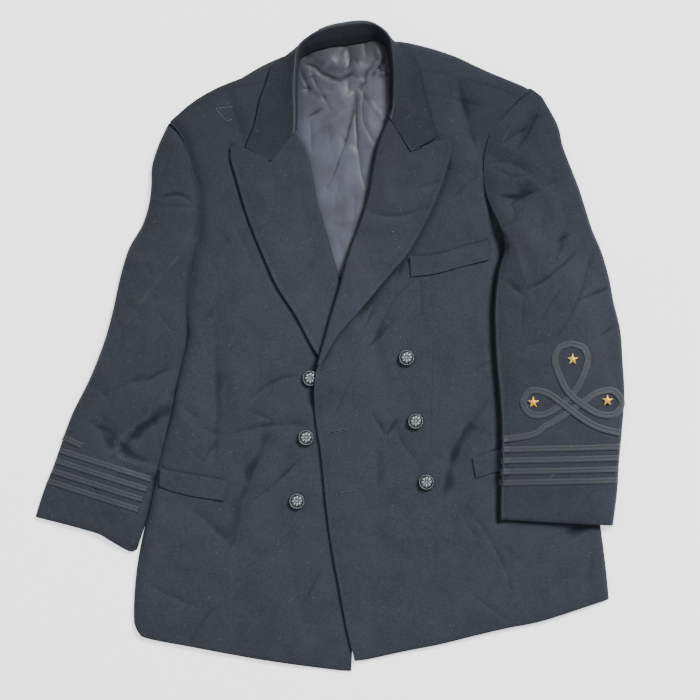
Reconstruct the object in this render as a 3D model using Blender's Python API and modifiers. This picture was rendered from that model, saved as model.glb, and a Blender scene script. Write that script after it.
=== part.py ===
"""A double-breasted dress jacket laid flat on its back, front up.

The tables are in millimetres: +X runs to the wearer's left, +Y up the jacket and +Z off the table,
and the origin is on the table under the middle of the jacket. Sides are the wearer's. Each cloth
panel is an open surface through its sections, laid on the panels under it, with Solidify as its wall.
"""

import math

import bmesh
import bpy
import numpy as np

MM = 0.001
NAME = "dress_jacket"

# Driving sizes in millimetres
WALL = 2.6
LINING_WALL = 1.2
BRAID_WALL = 0.9
WELT_WALL = 1.6
GAP = 0.35
SEAM = 0.3
ROLL = 9.0
TURN_IN = 5.5
CUFF_INSET = 6.0
REST = 1.3
HEM_DROP = 1.0
BUTTON_RADIUS = 9.5
BUTTON_THICKNESS = 4.2
SHANK_RADIUS = 3.0
BUTTON_LIFT = 0.8
STAR_RADIUS = 7.2
STAR_HEIGHT = 2.4
STAR_POINTS = 5
STAR_INNER = 0.42
BRAID_WIDTH = 7.4
BRAID_RISE = 0.2
COLLAR_ROLL_HEIGHT = 27.0
COLLAR_NAPE = 12.0
NAPE_HEIGHT = 4.0
NAPE_BULGE = 3.0

# Grid steps of the surfaces and of the height map that keeps them apart
ROWS_PER_SECTION = 2
CELL = 22.0
HIDDEN_CELL = 40.0
MAP_STEP = 1.5
MAP_HALF = (380.0, 420.0)
LAY_PASSES = 14
CORNER = math.radians(5)
BRIDGE = 12.0
TURN_STEPS = (0.0, 0.08, 0.36, 1.0)
WIDEST_TURN = 0.3
CROWN_POWER = 2.5
TOP_BLEND = 0.2
LAPEL_BLEND = 0.4
FOLD_ENDS = 0.12
BUTTON_SIDES = 14
STRIPE_POINTS = 13
TAIL_POINTS = 4
KNOT_STEPS = 3

COLOURS = {
    "wool": ("#3d4148", 0.92, 0.0),
    "lining": ("#6b6e7c", 0.45, 0.0),
    "braid": ("#4f545f", 0.7, 0.0),
    "button": ("#8b9096", 0.35, 1.0),
    "gilt": ("#c99b45", 0.35, 1.0),
}

# Sections of a panel, one row each from the top down: the two edges, how far the cloth stands off
# what it lies on at each edge and between them, and how much of its height each edge turns down
SECTION = (
    "left_x", "left_y", "left_loft", "left_turn",
    "right_x", "right_y", "right_loft", "right_turn", "crown",
)

RIGHT_FRONT = (
    (-192, 271, 4, 0, -51, 323, 6.5, 0, 1),
    (-178, 251, 4, 0, -49, 294, 4.5, 0, 2),
    (-170, 223, 4, 0, -47, 265, 3, 0, 3),
    (-162, 196, 4, 0, -36, 234, 2, 0, 3),
    (-159, 172, 4, 0, -27, 206, 1, 0, 3),
    (-160, 145, 4, 0, -19, 174, 0.6, 0, 3),
    (-163, 116, 4, 0, -9, 140, 0.4, 0, 3),
    (-170, 81, 3.5, 0, 4, 94, 0.3, 0, 3),
    (-174, 43, 3.5, 0.4, 17, 43, 0.3, 0, 3),
    (-174, 9, 3, 1, 31, -4, 0.3, 0, 3),
    (-185, -37, 3, 1, 48, -59, 0.2, 0, 3),
    (-195, -87, 3, 1, 50, -107, 0.2, 0, 3),
    (-209, -140, 3, 1, 45, -162, 0.2, 0, 3),
    (-218, -187, 3, 1, 40, -214, 0.2, 0, 2.5),
    (-229, -233, 3, 1, 35, -260, 0.2, 0, 2.5),
    (-236, -274, 3, 1, 32, -306, 0.2, 0, 2),
    (-239, -312, 2.5, 1, 28, -351, 0.2, 0, 1.5),
    (-239, -336, 2, 1, 26, -394, 0.2, 0, 1),
)
RIGHT_SHOULDER_SEAM = ((-192, 271), (-159, 294), (-120, 313), (-51, 323))
RIGHT_HEM = ((-239, -336), (-233, -348), (-222, -355), (-170, -365), (-83, -381), (2, -393), (26, -395))

LEFT_FRONT = (
    (86, 337, 6.5, 0, 231, 303, 4, 0, 1),
    (83, 304, 4.5, 0, 201, 270, 4, 0, 2),
    (78, 273, 3, 0, 191, 243, 4, 0, 3),
    (63, 244, 2, 0, 188, 218, 4, 0, 3),
    (56, 214, 1, 0, 190, 192, 4, 0, 3),
    (51, 182, 0.6, 0, 196, 170, 4, 0, 3),
    (40, 145, 0.4, 0, 206, 143, 4, 0, 3),
    (27, 109, 0.3, 0, 229, 116, 3, 0.6, 3),
    (13, 65, 0.3, 0, 264, 84, 3, 1, 3),
    (1, 23, 0.4, 0, 284, 45, 3, 1, 3),
    (-17, -32, 0.3, 0, 298, 2, 3, 1, 3),
    (-18, -79, 0.2, 0, 306, -46, 3, 1, 3),
    (-11, -127, 0.2, 0, 315, -95, 3, 1, 3),
    (-5, -187, 0.2, 0, 322, -144, 3, 1, 2.5),
    (1, -235, 0.2, 0, 329, -211, 3, 1, 2.5),
    (10, -285, 0.2, 0, 334, -249, 3, 1, 2),
    (20, -339, 0.2, 0, 338, -284, 2.5, 1, 1.5),
    (30, -382, 0.2, 0, 340, -307, 2, 1, 1),
)
LEFT_SHOULDER_SEAM = ((86, 337), (132, 332), (178, 321), (231, 303))
LEFT_HEM = (
    (30, -382), (48, -380), (89, -371), (134, -362), (178, -351), (217, -342), (260, -333), (340, -307),
)

# The backs: the fold of the cloth over each shoulder, and the neck between the two folds
CENTRE_BACK = 24.0
RIGHT_SHOULDER_FOLD = ((-195, 274), (-166, 299), (-132, 318), (-110, 326), (-83, 342), (-56, 354))
LEFT_SHOULDER_FOLD = (
    (90, 371), (109, 367), (131, 361), (154, 353), (173, 344), (195, 334), (217, 325), (238, 316),
    (257, 304),
)
RIGHT_NECK = ((-56, 354), (-37, 352), (-8, 361), (24, 365))
LEFT_NECK = ((24, 365), (48, 367), (70, 369), (90, 371))
SHOULDER_HEIGHT = (10.0, 12.6)
WRAP = ((0.0, 0.30), (0.0, 0.66), (0.16, 0.93), (0.42, 1.0), (1.0, 1.0))

# Sleeve edges below the armholes, from the top down, and the free side of each sleeve
RIGHT_SLEEVE_OUTER = (
    (-200, 268), (-209, 246), (-217, 220), (-218, 196), (-221, 173), (-229, 148), (-245, 120), (-256, 84),
    (-265, 43), (-276, 4), (-293, -39), (-314, -81), (-329, -122), (-337, -145), (-346, -167), (-353, -187),
    (-359, -207),
)
RIGHT_SLEEVE_INNER = (
    (-175.5, 2), (-189.5, -50), (-201.5, -105), (-215, -159), (-219.5, -183), (-225, -207), (-230, -228),
    (-235, -247),
)
RIGHT_CUFF = (
    (-359, -207), (-323, -216), (-301, -222), (-281, -228), (-266, -237), (-244, -249), (-235, -247),
)
LEFT_SLEEVE_OUTER = (
    (261, 299), (277, 271), (284, 244), (294, 218), (304, 192), (311, 170), (320, 142), (331, 116),
    (340, 85), (346, 54), (354, 20), (357, -20), (359, -60), (356, -101), (352, -145), (350, -177),
    (345, -217),
)
LEFT_SLEEVE_INNER = (
    (208.5, 142), (211, 118), (204, 94), (199, 57), (199, 21), (201, -18), (205, -60), (207, -101),
    (207, -145), (206, -177), (206, -209),
)
LEFT_CUFF = ((206, -209), (275, -213), (345, -217))
# Loft of a sleeve at its seam or inner edge, outer edge and middle, from the shoulder to the cuff
SLEEVE_LOFT = (
    (4, 3, 1), (4, 3, 2), (4, 3, 3), (4, 3, 4), (4, 3, 4), (4, 3, 4), (4, 3, 4), (3.5, 3, 4), (3, 3, 3.5),
    (2, 3, 3.5), (2, 3, 3), (2, 2.5, 3), (2, 2, 3), (1.5, 2, 2.5), (1, 1, 2), (1, 1, 1.5), (1, 1, 1),
)

RIGHT_LAPEL = (
    (-120, 243, 0.3, 0, -42, 261, 4, 0.6, 1),
    (-120, 228, 0.3, 0, -33, 247, 4, 0.6, 1),
    (-113, 203, 0.3, 0, -25, 227, 4, 0.6, 1),
    (-104, 172, 0.3, 0, -20, 205, 4, 0.6, 1),
    (-93, 140, 0.3, 0, -15, 176, 3.5, 0.6, 1),
    (-79, 107, 0.3, 0, -5, 142, 3, 0.6, 1),
    (-63, 72, 0.3, 0, 6, 103, 1.5, 0.6, 1),
    (-41, 38, 0.3, 0, 18, 57, 0.5, 0.3, 0.5),
    (-17, -6, 0.3, 0, 32, 9, 0.3, 0.1, 0.3),
    (16, -50, 0.3, 0, 44, -44, 0.3, 0, 0.3),
)
RIGHT_GORGE = ((-120, 243), (-102, 241), (-71, 225.5), (-57, 243), (-42, 261))
LEFT_LAPEL = (
    (72.5, 276.5, 4, 0.6, 146, 253, 0.3, 0, 1),
    (66, 266, 4, 0.6, 148, 242, 0.3, 0, 1),
    (56, 242, 4, 0.6, 142, 217, 0.3, 0, 1),
    (50, 215, 4, 0.6, 131, 185, 0.3, 0, 1),
    (45, 184, 4, 0.6, 115, 150, 0.3, 0, 1),
    (35, 151, 4, 0.6, 94, 113, 0.3, 0, 1),
    (22, 115, 3, 0.5, 67, 81, 0.3, 0, 1),
    (11, 74, 2, 0.3, 37, 45, 0.3, 0, 1),
    (-2, 30, 1, 0.3, 9, 13, 0.3, 0, 0.5),
    (-15, -21, 0.5, 0, -12.5, -23, 0.3, 0, 0),
)
LEFT_GORGE = ((72.5, 276.5), (84.5, 257), (98, 236.8), (128, 249), (146, 253))

# The collar from the right gorge round the neck to the left gorge: the edge of its fall, its roll
# line, the neck seam of its stand, and the height of the roll as a share of the full height
COLLAR = (
    (-102, 243, -42, 263, -35, 267, 0.74),
    (-94, 268, -41, 285, -34, 289, 0.82),
    (-85, 298, -42, 311, -33, 311, 0.88),
    (-77, 321, -40, 336, -30, 331, 0.94),
    (-68, 343, -38, 360, -24, 343, 1.0),
    (-44, 357, -24, 376, -12, 351, 1.0),
    (-10, 377, -7, 386, 0, 357, 0.97),
    (11, 384, 12, 391, 15, 360, 0.95),
    (38, 387, 39, 394, 34, 363, 0.95),
    (58, 382, 57, 389, 49, 364, 0.97),
    (86, 367, 71, 375, 59, 357, 1.0),
    (101, 355, 74, 355, 63, 346, 1.0),
    (107, 336, 77, 333, 66, 331, 0.94),
    (113, 311, 77, 311, 67, 311, 0.88),
    (121, 282, 76, 292, 66, 294, 0.82),
    (129, 254, 73, 279, 65, 282, 0.74),
)
RIGHT_NOTCH = (-71, 227.3)
LEFT_NOTCH = (98.3, 240.6)
NOTCH_SHARE = 0.62
FALL_STEPS = (1.0, 0.81, NOTCH_SHARE, 0.43, 0.25, 0.10)
STAND_STEPS = (0.0, 0.25, 0.6, 1.0)

LINING = (
    (-28, 345, 0.2, 0, 60, 360, 0.2, 0, 1),
    (-29, 311, 0.2, 0, 63, 311, 0.2, 0, 3),
    (-37, 265, 0.2, 0, 72, 265, 0.2, 0, 3),
    (-30, 228, 0.2, 0, 60, 228, 0.2, 0, 3),
    (-24, 190, 0.2, 0, 54, 190, 0.2, 0, 2),
    (-14, 149, 0.2, 0, 43, 149, 0.2, 0, 1),
    (-2, 106, 0.2, 0, 29, 106, 0.2, 0, 0.5),
    (8, 64, 0.2, 0, 21, 64, 0.2, 0, 0),
)
LINING_TOP = ((-28, 345), (-14, 350), (2, 355), (22, 357), (42, 360), (60, 360))

# Pocket welts: the panel that carries each, and its upper and lower long edges
BREAST_WELT = ("left_front", ((97, 110), (129, 112), (167, 123), (192, 129)),
               ((98, 85), (129, 89), (155, 96), (194, 106)))
RIGHT_HIP_WELT = ("right_front", ((-200, -146), (-192, -150), (-158, -156), (-122, -163)),
                  ((-201, -172), (-184, -178), (-157, -183), (-129, -187)))
LEFT_HIP_WELT = ("left_front", ((173, -135), (207, -124), (250, -115), (296, -109)),
                 ((177, -159), (206, -151), (250, -142), (299, -136)))
WELTS = {
    "breast_pocket_welt": BREAST_WELT,
    "right_hip_pocket_welt": RIGHT_HIP_WELT,
    "left_hip_pocket_welt": LEFT_HIP_WELT,
}

# The button profile down its outer side: share of the radius, and the drop from the top or the
# rise over the brim; then each button's name and place
BUTTON_FACE = ((0.0, 0.0), (0.6, 0.5), (1.0, 2.0))
BUTTON_BRIM = ((1.0, 0.5), (0.8, 0.0))
BUTTONS = (
    ("right_button_1", -24, -38), ("right_button_2", -29, -110), ("right_button_3", -40, -187),
    ("left_button_1", 93, -13), ("left_button_2", 104, -90), ("left_button_3", 117, -164),
)

# Cuff stripes: the two ends of the top stripe, the step to the next, and the sleeve that carries them
RIGHT_STRIPES = ((-327, -126), (-217, -161), (-5.2, -12.3), "right_sleeve_top")
LEFT_STRIPES = ((213, -124), (351, -121), (-0.6, -13.5), "left_sleeve_top")
STRIPES = 4
RIGHT_TAIL = ((-325, -110), (-301, -120))

# Half of the trefoil braid knot, from the top of its upper loop to its tail: x off the centre line,
# y, and the level of the two halves where they cross
KNOT_CENTRE = 292.5
KNOT = (
    (0, 4, 0, 0), (14, -1, 0, 0), (20, -14, 0, 0), (15, -33, 0, 0), (4, -54, 0, 1), (-13, -70, 0, 1),
    (-31, -81, 0, 0), (-49, -81, 0, 0), (-58, -67, 0, 0), (-49, -53, 0, 0), (-29, -56, 0, 0),
    (-10, -69, 1, 0), (10, -84, 1, 0), (28, -95, 0, 0), (46, -101, 0, 0), (60, -104, 0, 0),
)
KNOT_LEVEL = 1.35
STARS = ((294, -15), (247, -67), (337, -64))

# The largest folds: both ends, the rise or the dip, the half width and the sideways bow
LEFT_SLEEVE_FOLDS = (
    (206, 150, 250, 128, -3, 12, 5),
    (222, 240, 252, 285, -3, 10, 0),
    (238, 63, 292, 98, 3, 13, -8),
    (300, 62, 345, 78, -3, 11, 4),
)
RIGHT_SLEEVE_FOLDS = (
    (-167, 125, -285, -20, 5, 15, -6),
    (-205, 165, -164, 172, -5, 11, 6),
    (-193, -76, -236, -112, -5, 13, 5),
    (-268, -92, -215, -142, 4, 12, -14),
)
FRONT_FOLDS = (
    (-118, -178, -118, -242, -4, 12, 4),
    (-70, -45, -42, -52, -2, 12, 0),
    (-90, -188, -34, -132, -2, 12, 8),
    (31, 10, 104, 84, 3, 12, -6),
    (205, -60, 140, -210, 4, 18, 10),
    (171, 289, 183, 206, -3, 11, 4),
)


def smooth_rows(table, steps):
    """Rows through the table's rows, with this many steps to a section, on a Catmull-Rom curve."""
    knots = np.array(table, float)
    padded = np.vstack([2 * knots[0] - knots[1], knots, 2 * knots[-1] - knots[-2]])
    rows = []
    for index in range(len(knots) - 1):
        before, start, end, after = padded[index:index + 4]
        for step in range(steps):
            t = step / steps
            out = 2 * start + (end - before) * t
            out += (2 * before - 5 * start + 4 * end - after) * t ** 2
            out += (3 * start - before - 3 * end + after) * t ** 3
            rows.append(out / 2)
    rows.append(knots[-1])
    return np.array(rows)


def along(line, shares):
    """Points at these shares of the length of a polyline, with the nearest one moved to each corner."""
    line = np.array(line, float)
    run = np.concatenate([[0], np.cumsum(np.linalg.norm(np.diff(line, axis=0), axis=1))])
    spots = np.asarray(shares) * run[-1]
    heading = np.unwrap(np.arctan2(*np.diff(line[:, :2], axis=0).T[::-1]))
    for corner in np.flatnonzero(np.abs(np.diff(heading)) > CORNER) + 1:
        spots[1:-1][np.argmin(np.abs(spots[1:-1] - run[corner]))] = run[corner]
    return np.stack([np.interp(spots, run, line[:, axis]) for axis in range(line.shape[1])], -1)


def quarter_turn(share):
    """How far an edge has turned down, from 1 at the edge to 0 one roll width inside it."""
    inside = np.clip(share, 0, 1)
    return 1 - np.sqrt(np.clip(1 - (1 - inside) ** 2, 0, 1))


def column_shares(width, turns_left, turns_right, cell):
    """Places across a panel: close ones at an edge that turns down, and even ones elsewhere."""
    turn = np.array(TURN_STEPS) * min(ROLL / width, WIDEST_TURN)
    left = turn if turns_left else turn[:1]
    right = 1 - (turn if turns_right else turn[:1])[::-1]
    between = max(2, round((right[0] - left[-1]) * width / cell))
    return np.concatenate([left, np.linspace(left[-1], right[0], between + 1)[1:-1], right])


def fold_height(x, y, folds):
    """The rise of every fold at each point."""
    rise = np.zeros_like(x)
    for x0, y0, x1, y1, height, half_width, bow in folds:
        length = math.hypot(x1 - x0, y1 - y0)
        along_x, along_y = (x1 - x0) / length, (y1 - y0) / length
        run = ((x - x0) * along_x + (y - y0) * along_y) / length
        inside = np.clip(run, 0, 1)
        off = (y - y0) * along_x - (x - x0) * along_y - bow * np.sin(np.pi * inside)
        past = (run - inside) * length
        swell = np.sin(np.pi * (FOLD_ENDS + (1 - 2 * FOLD_ENDS) * inside))
        rise += height * swell * np.exp(-(off ** 2 + past ** 2) / half_width ** 2)
    return rise


class HeightMap:
    """The top of every panel laid so far, on one square grid."""

    def __init__(self):
        self.shape = tuple(int(2 * half / MAP_STEP) + 1 for half in MAP_HALF)
        self.tops = {}

    def cells(self, x, y):
        column = np.rint((x + MAP_HALF[0]) / MAP_STEP).astype(int)
        row = np.rint((y + MAP_HALF[1]) / MAP_STEP).astype(int)
        return np.clip(column, 0, self.shape[0] - 1), np.clip(row, 0, self.shape[1] - 1)

    def record(self, name, points):
        """Keeps the highest of these surface points in each cell."""
        top = np.full(self.shape, -1.0)
        np.maximum.at(top, self.cells(points[:, 0], points[:, 1]), points[:, 2])
        self.tops[name] = top

    def under(self, names, below=None):
        """The highest of the named panels, with the table at 0, and only below a line across the jacket."""
        height = np.zeros(self.shape)
        for name in names:
            height = np.maximum(height, self.tops[name])
        if below is not None:
            height[:, int((below + MAP_HALF[1]) / MAP_STEP):] = 0
        return height


def spread(height, reach, take):
    """A square moving window of this reach over the map, first along X and then along Y."""
    cells = max(1, round(reach / MAP_STEP))
    for axis in (0, 1):
        border = [(cells, cells) if side == axis else (0, 0) for side in (0, 1)]
        padded = np.pad(height, border, mode="edge")
        spots = np.arange(height.shape[axis])
        parts = [np.take(padded, spots + shift, axis) for shift in range(2 * cells + 1)]
        height = take(np.stack(parts), axis=0)
    return height


def bridged(height, reach):
    """The map under stiff cloth: it spans hollows narrower than the reach."""
    return spread(spread(height, reach, np.max), reach, np.mean)


def dense(points, spacing):
    """Points spread over every cell of a grid, no farther apart than the spacing."""
    longest = max(np.linalg.norm(np.diff(points, axis=axis), axis=2).max() for axis in (0, 1))
    per_cell = math.ceil(longest / spacing)
    shares = (np.arange(per_cell) + 0.5) / per_cell
    s, t = np.meshgrid(shares, shares, indexing="ij")
    weights = np.stack([(1 - s) * (1 - t), s * (1 - t), (1 - s) * t, s * t]).reshape(4, -1)
    corners = np.stack([points[:-1, :-1], points[1:, :-1], points[:-1, 1:], points[1:, 1:]])
    return np.einsum("kn,kijc->ijnc", weights, corners)


def normals_of(points):
    """Unit normals of a grid of points, facing up where its rows run down the jacket."""
    normal = np.cross(np.gradient(points, axis=0), np.gradient(points, axis=1))
    return normal / np.linalg.norm(normal, axis=2, keepdims=True).clip(1e-9)


def lay(points, floor, wall):
    """Lifts a surface until the inside of its wall clears the map under it, or the table."""
    ends = (slice(None, -1), slice(1, None))
    corners = [(down, across) for down in ends for across in ends]
    for _ in range(LAY_PASSES):
        inner = points - wall * normals_of(points)
        lift = (-inner[..., 2]).clip(0)
        for face in (points, inner):
            spots = dense(face, MAP_STEP * 1.4)
            column, row = MAP.cells(spots[..., 0], spots[..., 1])
            under = np.where(floor[column, row] > 0, floor[column, row] + GAP, 0)
            short = (under - spots[..., 2]).max(axis=2).clip(0)
            for corner in corners:
                lift[corner] = np.maximum(lift[corner], short)
        if lift.max() < 0.02:
            break
        points[..., 2] += lift
    return points


def panel(table, floor, wall=WALL, top=None, bottom=None, folds=(), hem_drop=0.0, cell=CELL,
          steps=ROWS_PER_SECTION, blend=TOP_BLEND):
    """A panel's outer surface, as a grid of points from the top row down, laid on the map under it."""
    rows = dict(zip(SECTION, smooth_rows(table, steps).T))
    width = np.hypot(rows["right_x"] - rows["left_x"], rows["right_y"] - rows["left_y"])
    turned = [rows[edge].max() > 0 for edge in ("left_turn", "right_turn")]
    share = column_shares(np.median(width), *turned, cell)
    left = np.stack([rows["left_x"], rows["left_y"]], -1)[:, None]
    right = np.stack([rows["right_x"], rows["right_y"]], -1)[:, None]
    flat = left + (right - left) * share[None, :, None]
    reach = np.linspace(0, 1, len(flat))
    for edge, line, away in ((0, top, reach), (-1, bottom, 1 - reach)):
        if line is not None:
            shift = along(line, share) - flat[edge]
            flat = flat + shift[None] * (np.clip(1 - away / blend, 0, 1) ** 2)[:, None, None]
    x, y = flat[..., 0], flat[..., 1]
    column, row = MAP.cells(x, y)
    mid = 1 - np.abs(2 * share - 1) ** CROWN_POWER
    loft = rows["left_loft"][:, None] * (1 - share) + rows["right_loft"][:, None] * share
    height = bridged(floor, BRIDGE)[column, row] + GAP + wall + loft + rows["crown"][:, None] * mid
    height += fold_height(x, y, folds)
    inside = share * width[:, None] / ROLL
    turn = rows["left_turn"][:, None].clip(0, 1) * quarter_turn(inside)
    inside = (1 - share) * width[:, None] / ROLL
    turn += rows["right_turn"][:, None].clip(0, 1) * quarter_turn(inside)
    height += (REST - height) * turn
    height -= hem_drop * quarter_turn(np.linalg.norm(flat - flat[-1:], axis=2) / ROLL) * (1 - turn)
    return lay(np.dstack([x, y, height]), floor, wall)


def flat_panel(table, top=None, cell=HIDDEN_CELL):
    """A panel flat on the table, kept inside the edges that turn down over it."""
    rows = np.array(table, float)
    across = rows[:, 4:6] - rows[:, 0:2]
    across /= np.linalg.norm(across, axis=1, keepdims=True)
    rows[:, 0:2] += across * (SEAM / 2 + TURN_IN * rows[:, 3:4])
    rows[:, 4:6] -= across * (SEAM / 2 + TURN_IN * rows[:, 7:8])
    rows[:, [2, 3, 6, 7, 8]] = 0
    points = panel(rows, np.zeros(MAP.shape), top=top, cell=cell, steps=1)
    points[..., 2] = WALL
    return points


def material(name):
    """The Principled material of one finish."""
    found = bpy.data.materials.get(name)
    if found:
        return found
    made = bpy.data.materials.new(name)
    made.use_nodes = True
    colour, roughness, metallic = COLOURS[name]
    channels = [int(colour[start:start + 2], 16) / 255 for start in (1, 3, 5)]
    shader = made.node_tree.nodes["Principled BSDF"]
    shader.inputs["Base Color"].default_value = [*(value ** 2.2 for value in channels), 1]
    shader.inputs["Roughness"].default_value = roughness
    shader.inputs["Metallic"].default_value = metallic
    return made


def place(name, mesh, finish):
    """A named object in the jacket's collection."""
    mesh.materials.append(material(finish))
    made = bpy.data.objects.new(name, mesh)
    bpy.data.collections[NAME].objects.link(made)
    return made


def sheet(name, points, finish="wool", wall=WALL, outer_down=False, keep=None):
    """A grid bent through the points, as an open surface with its wall inside."""
    rows, columns = points.shape[:2]
    shell = bmesh.new()
    bmesh.ops.create_grid(shell, x_segments=columns - 1, y_segments=rows - 1, size=1)
    shell.verts.ensure_lookup_table()
    for vertex, spot in zip(shell.verts, points[::-1].reshape(-1, 3)):
        vertex.co = spot * MM
    if keep is not None:
        cut = [face for face, stays in zip(shell.faces[:], keep[::-1].reshape(-1)) if not stays]
        bmesh.ops.delete(shell, geom=cut, context="FACES")
    if outer_down:
        bmesh.ops.reverse_faces(shell, faces=shell.faces)
    mesh = bpy.data.meshes.new(name)
    shell.to_mesh(mesh)
    shell.free()
    mesh.shade_smooth()
    made = place(name, mesh, finish)
    solidify = made.modifiers.new("wall", "SOLIDIFY")
    solidify.thickness = wall * MM
    solidify.offset = -1
    inner = points - (-wall if outer_down else wall) * normals_of(points)
    faces = [dense(face, MAP_STEP).reshape(-1, 3) for face in (points, inner)]
    MAP.record(name, np.concatenate(faces))


def build_backs():
    """Each back lies on the table, rolls over the shoulder and ends at the shoulder seam."""
    right_rows = [(*row[:4], CENTRE_BACK, row[5], 0, 0, 0) for row in RIGHT_FRONT]
    right_rows[0] = (-195, 274, 0, 0, CENTRE_BACK, 365, 0, 0, 0)
    right_rows[-1] = (-239, -326, 0, 1, CENTRE_BACK, -370, 0, 0, 0)
    left_rows = [(CENTRE_BACK, max(row[1], row[5]), 0, 0, *row[4:8], 0) for row in LEFT_FRONT]
    left_rows[0] = (CENTRE_BACK, 365, 0, 0, 257, 304, 0, 0, 0)
    left_rows[-1] = (CENTRE_BACK, -370, 0, 0, 340, -296, 0, 1, 0)
    back("right_back", right_rows, RIGHT_SHOULDER_FOLD, RIGHT_NECK, RIGHT_SHOULDER_SEAM, False)
    back("left_back", left_rows, LEFT_SHOULDER_FOLD, LEFT_NECK, LEFT_SHOULDER_SEAM, True)


def back(name, rows, fold, neck, seam, neck_first):
    """One back: its flat part, then the part that rolls up over the shoulder fold to the seam."""
    top = (*neck, *fold[1:]) if neck_first else (*fold, *neck[1:])
    floor_part = flat_panel(rows, top=top)
    edge = floor_part[0, :, 0]
    columns = np.flatnonzero(edge >= fold[0][0] - 1 if neck_first else edge <= fold[-1][0] + 1)
    places = np.linspace(0, 1, len(columns))
    over, joined = along(fold, places), along(seam, places)
    joined[:, 1] += SEAM * 2
    outward = over - joined
    outward /= np.linalg.norm(outward, axis=1, keepdims=True)
    heights = np.interp(1 - places if neck_first else places, (0, 1), SHOULDER_HEIGHT)
    wrap = np.repeat(floor_part[:1], len(WRAP) + 1, axis=0)
    wrap[-1, columns, :2] = over - outward * WALL * 1.2
    wrap[-1, columns, 2] = 0.0
    for step, (share_in, share_up) in enumerate(reversed(WRAP)):
        wrap[step, columns, :2] = over + (joined - over) * share_in
        wrap[step, columns, 2] = heights * share_up
    flat = floor_part.copy()
    flat[..., 2] = 0
    flat[0, columns, :2] = over - outward * ROLL
    points = np.vstack([wrap, flat])
    keep = np.ones((len(points) - 1, points.shape[1] - 1), bool)
    keep[:len(WRAP) + 1] = False
    keep[:len(WRAP) + 1, columns[0]:columns[-1]] = True
    sheet(name, points, outer_down=True, keep=keep)
    MAP.record(name, dense(floor_part, MAP_STEP).reshape(-1, 3))
    MAP.record(name + "_shoulder", dense(wrap[:, columns], MAP_STEP).reshape(-1, 3))


def build_body():
    """The lining, the right front and its lapel, each on what is under it."""
    backs = ["right_back", "left_back"]
    lining = panel(LINING, MAP.under(backs), LINING_WALL, top=LINING_TOP)
    sheet("back_lining", lining, "lining", LINING_WALL)
    under_front = MAP.under([*backs, "back_lining"])
    front = panel(RIGHT_FRONT, under_front, top=RIGHT_SHOULDER_SEAM, bottom=RIGHT_HEM, folds=FRONT_FOLDS,
                  hem_drop=HEM_DROP)
    sheet("right_front", front)
    under_lapel = MAP.under(["right_front", "back_lining"])
    sheet("right_lapel", panel(RIGHT_LAPEL, under_lapel, top=RIGHT_GORGE, blend=LAPEL_BLEND))


def build_upper_front():
    """The left front laps over the right front, its lapel and the top button of that row."""
    names = ["right_back", "left_back", "back_lining", "right_front", "right_lapel", "right_button_1"]
    front = panel(LEFT_FRONT, MAP.under(names), top=LEFT_SHOULDER_SEAM, bottom=LEFT_HEM, folds=FRONT_FOLDS,
                  hem_drop=HEM_DROP)
    sheet("left_front", front)
    under_lapel = MAP.under(["left_front", "right_front", "right_lapel", "back_lining"])
    sheet("left_lapel", panel(LEFT_LAPEL, under_lapel, top=LEFT_GORGE, blend=LAPEL_BLEND))


def build_collar():
    """One folded strip: the fall on the shoulders, the roll, and the stand down to the neck seam."""
    shoulders = ["right_back_shoulder", "left_back_shoulder"]
    floor = MAP.under(["right_front", "left_front", "back_lining", *shoulders])
    lying = bridged(floor, BRIDGE)
    rows = smooth_rows(COLLAR, ROWS_PER_SECTION)
    fall, roll, seam, share = rows[:, 0:2], rows[:, 2:4], rows[:, 4:6], rows[:, 6]
    outward = (roll - seam) / np.linalg.norm(roll - seam, axis=1, keepdims=True)
    roll_height = COLLAR_ROLL_HEIGHT * share
    bend = np.clip(1 - np.arange(len(rows)) / (2 * ROWS_PER_SECTION), 0, 1) ** 2
    right_notch = np.array(RIGHT_NOTCH) - (roll[0] + (fall[0] - roll[0]) * NOTCH_SHARE)
    left_notch = np.array(LEFT_NOTCH) - (roll[-1] + (fall[-1] - roll[-1]) * NOTCH_SHARE)
    kink = bend[:, None] * right_notch + bend[::-1, None] * left_notch
    column, row = MAP.cells(fall[:, 0], fall[:, 1])
    nape = np.linalg.norm(fall - roll, axis=1) < COLLAR_NAPE
    fall_height = np.where(nape, NAPE_HEIGHT, lying[column, row] + GAP + WALL)
    columns = []
    for step in FALL_STEPS:
        share = step / NOTCH_SHARE if step < NOTCH_SHARE else (1 - step) / (1 - NOTCH_SHARE)
        spot = roll + (fall - roll) * step + kink * share
        spot = spot + outward * NAPE_BULGE * math.sin(math.pi * min(1.0, step * 2.5)) * nape[:, None]
        height = roll_height + (fall_height - roll_height) * (1 - (1 - step) ** 3)
        columns.append(np.column_stack([spot, height]))
    seam_height = lying[MAP.cells(seam[:, 0], seam[:, 1])] + GAP + WALL
    for step in STAND_STEPS:
        spot = roll + (seam - roll) * step
        columns.append(np.column_stack([spot, roll_height + (seam_height - roll_height) * step ** 0.8]))
    points = lay(np.stack(columns, axis=1), floor, WALL)
    sheet("collar", points[:, ::-1] if normals_of(points)[..., 2].mean() < 0 else points)


def under_rows(rows):
    """The sections of an under sleeve: from below the shoulder point to just inside the cuff."""
    last = list(rows[-1])
    last[1] += CUFF_INSET
    last[5] += CUFF_INSET
    return [*rows[1:-1], last]


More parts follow.
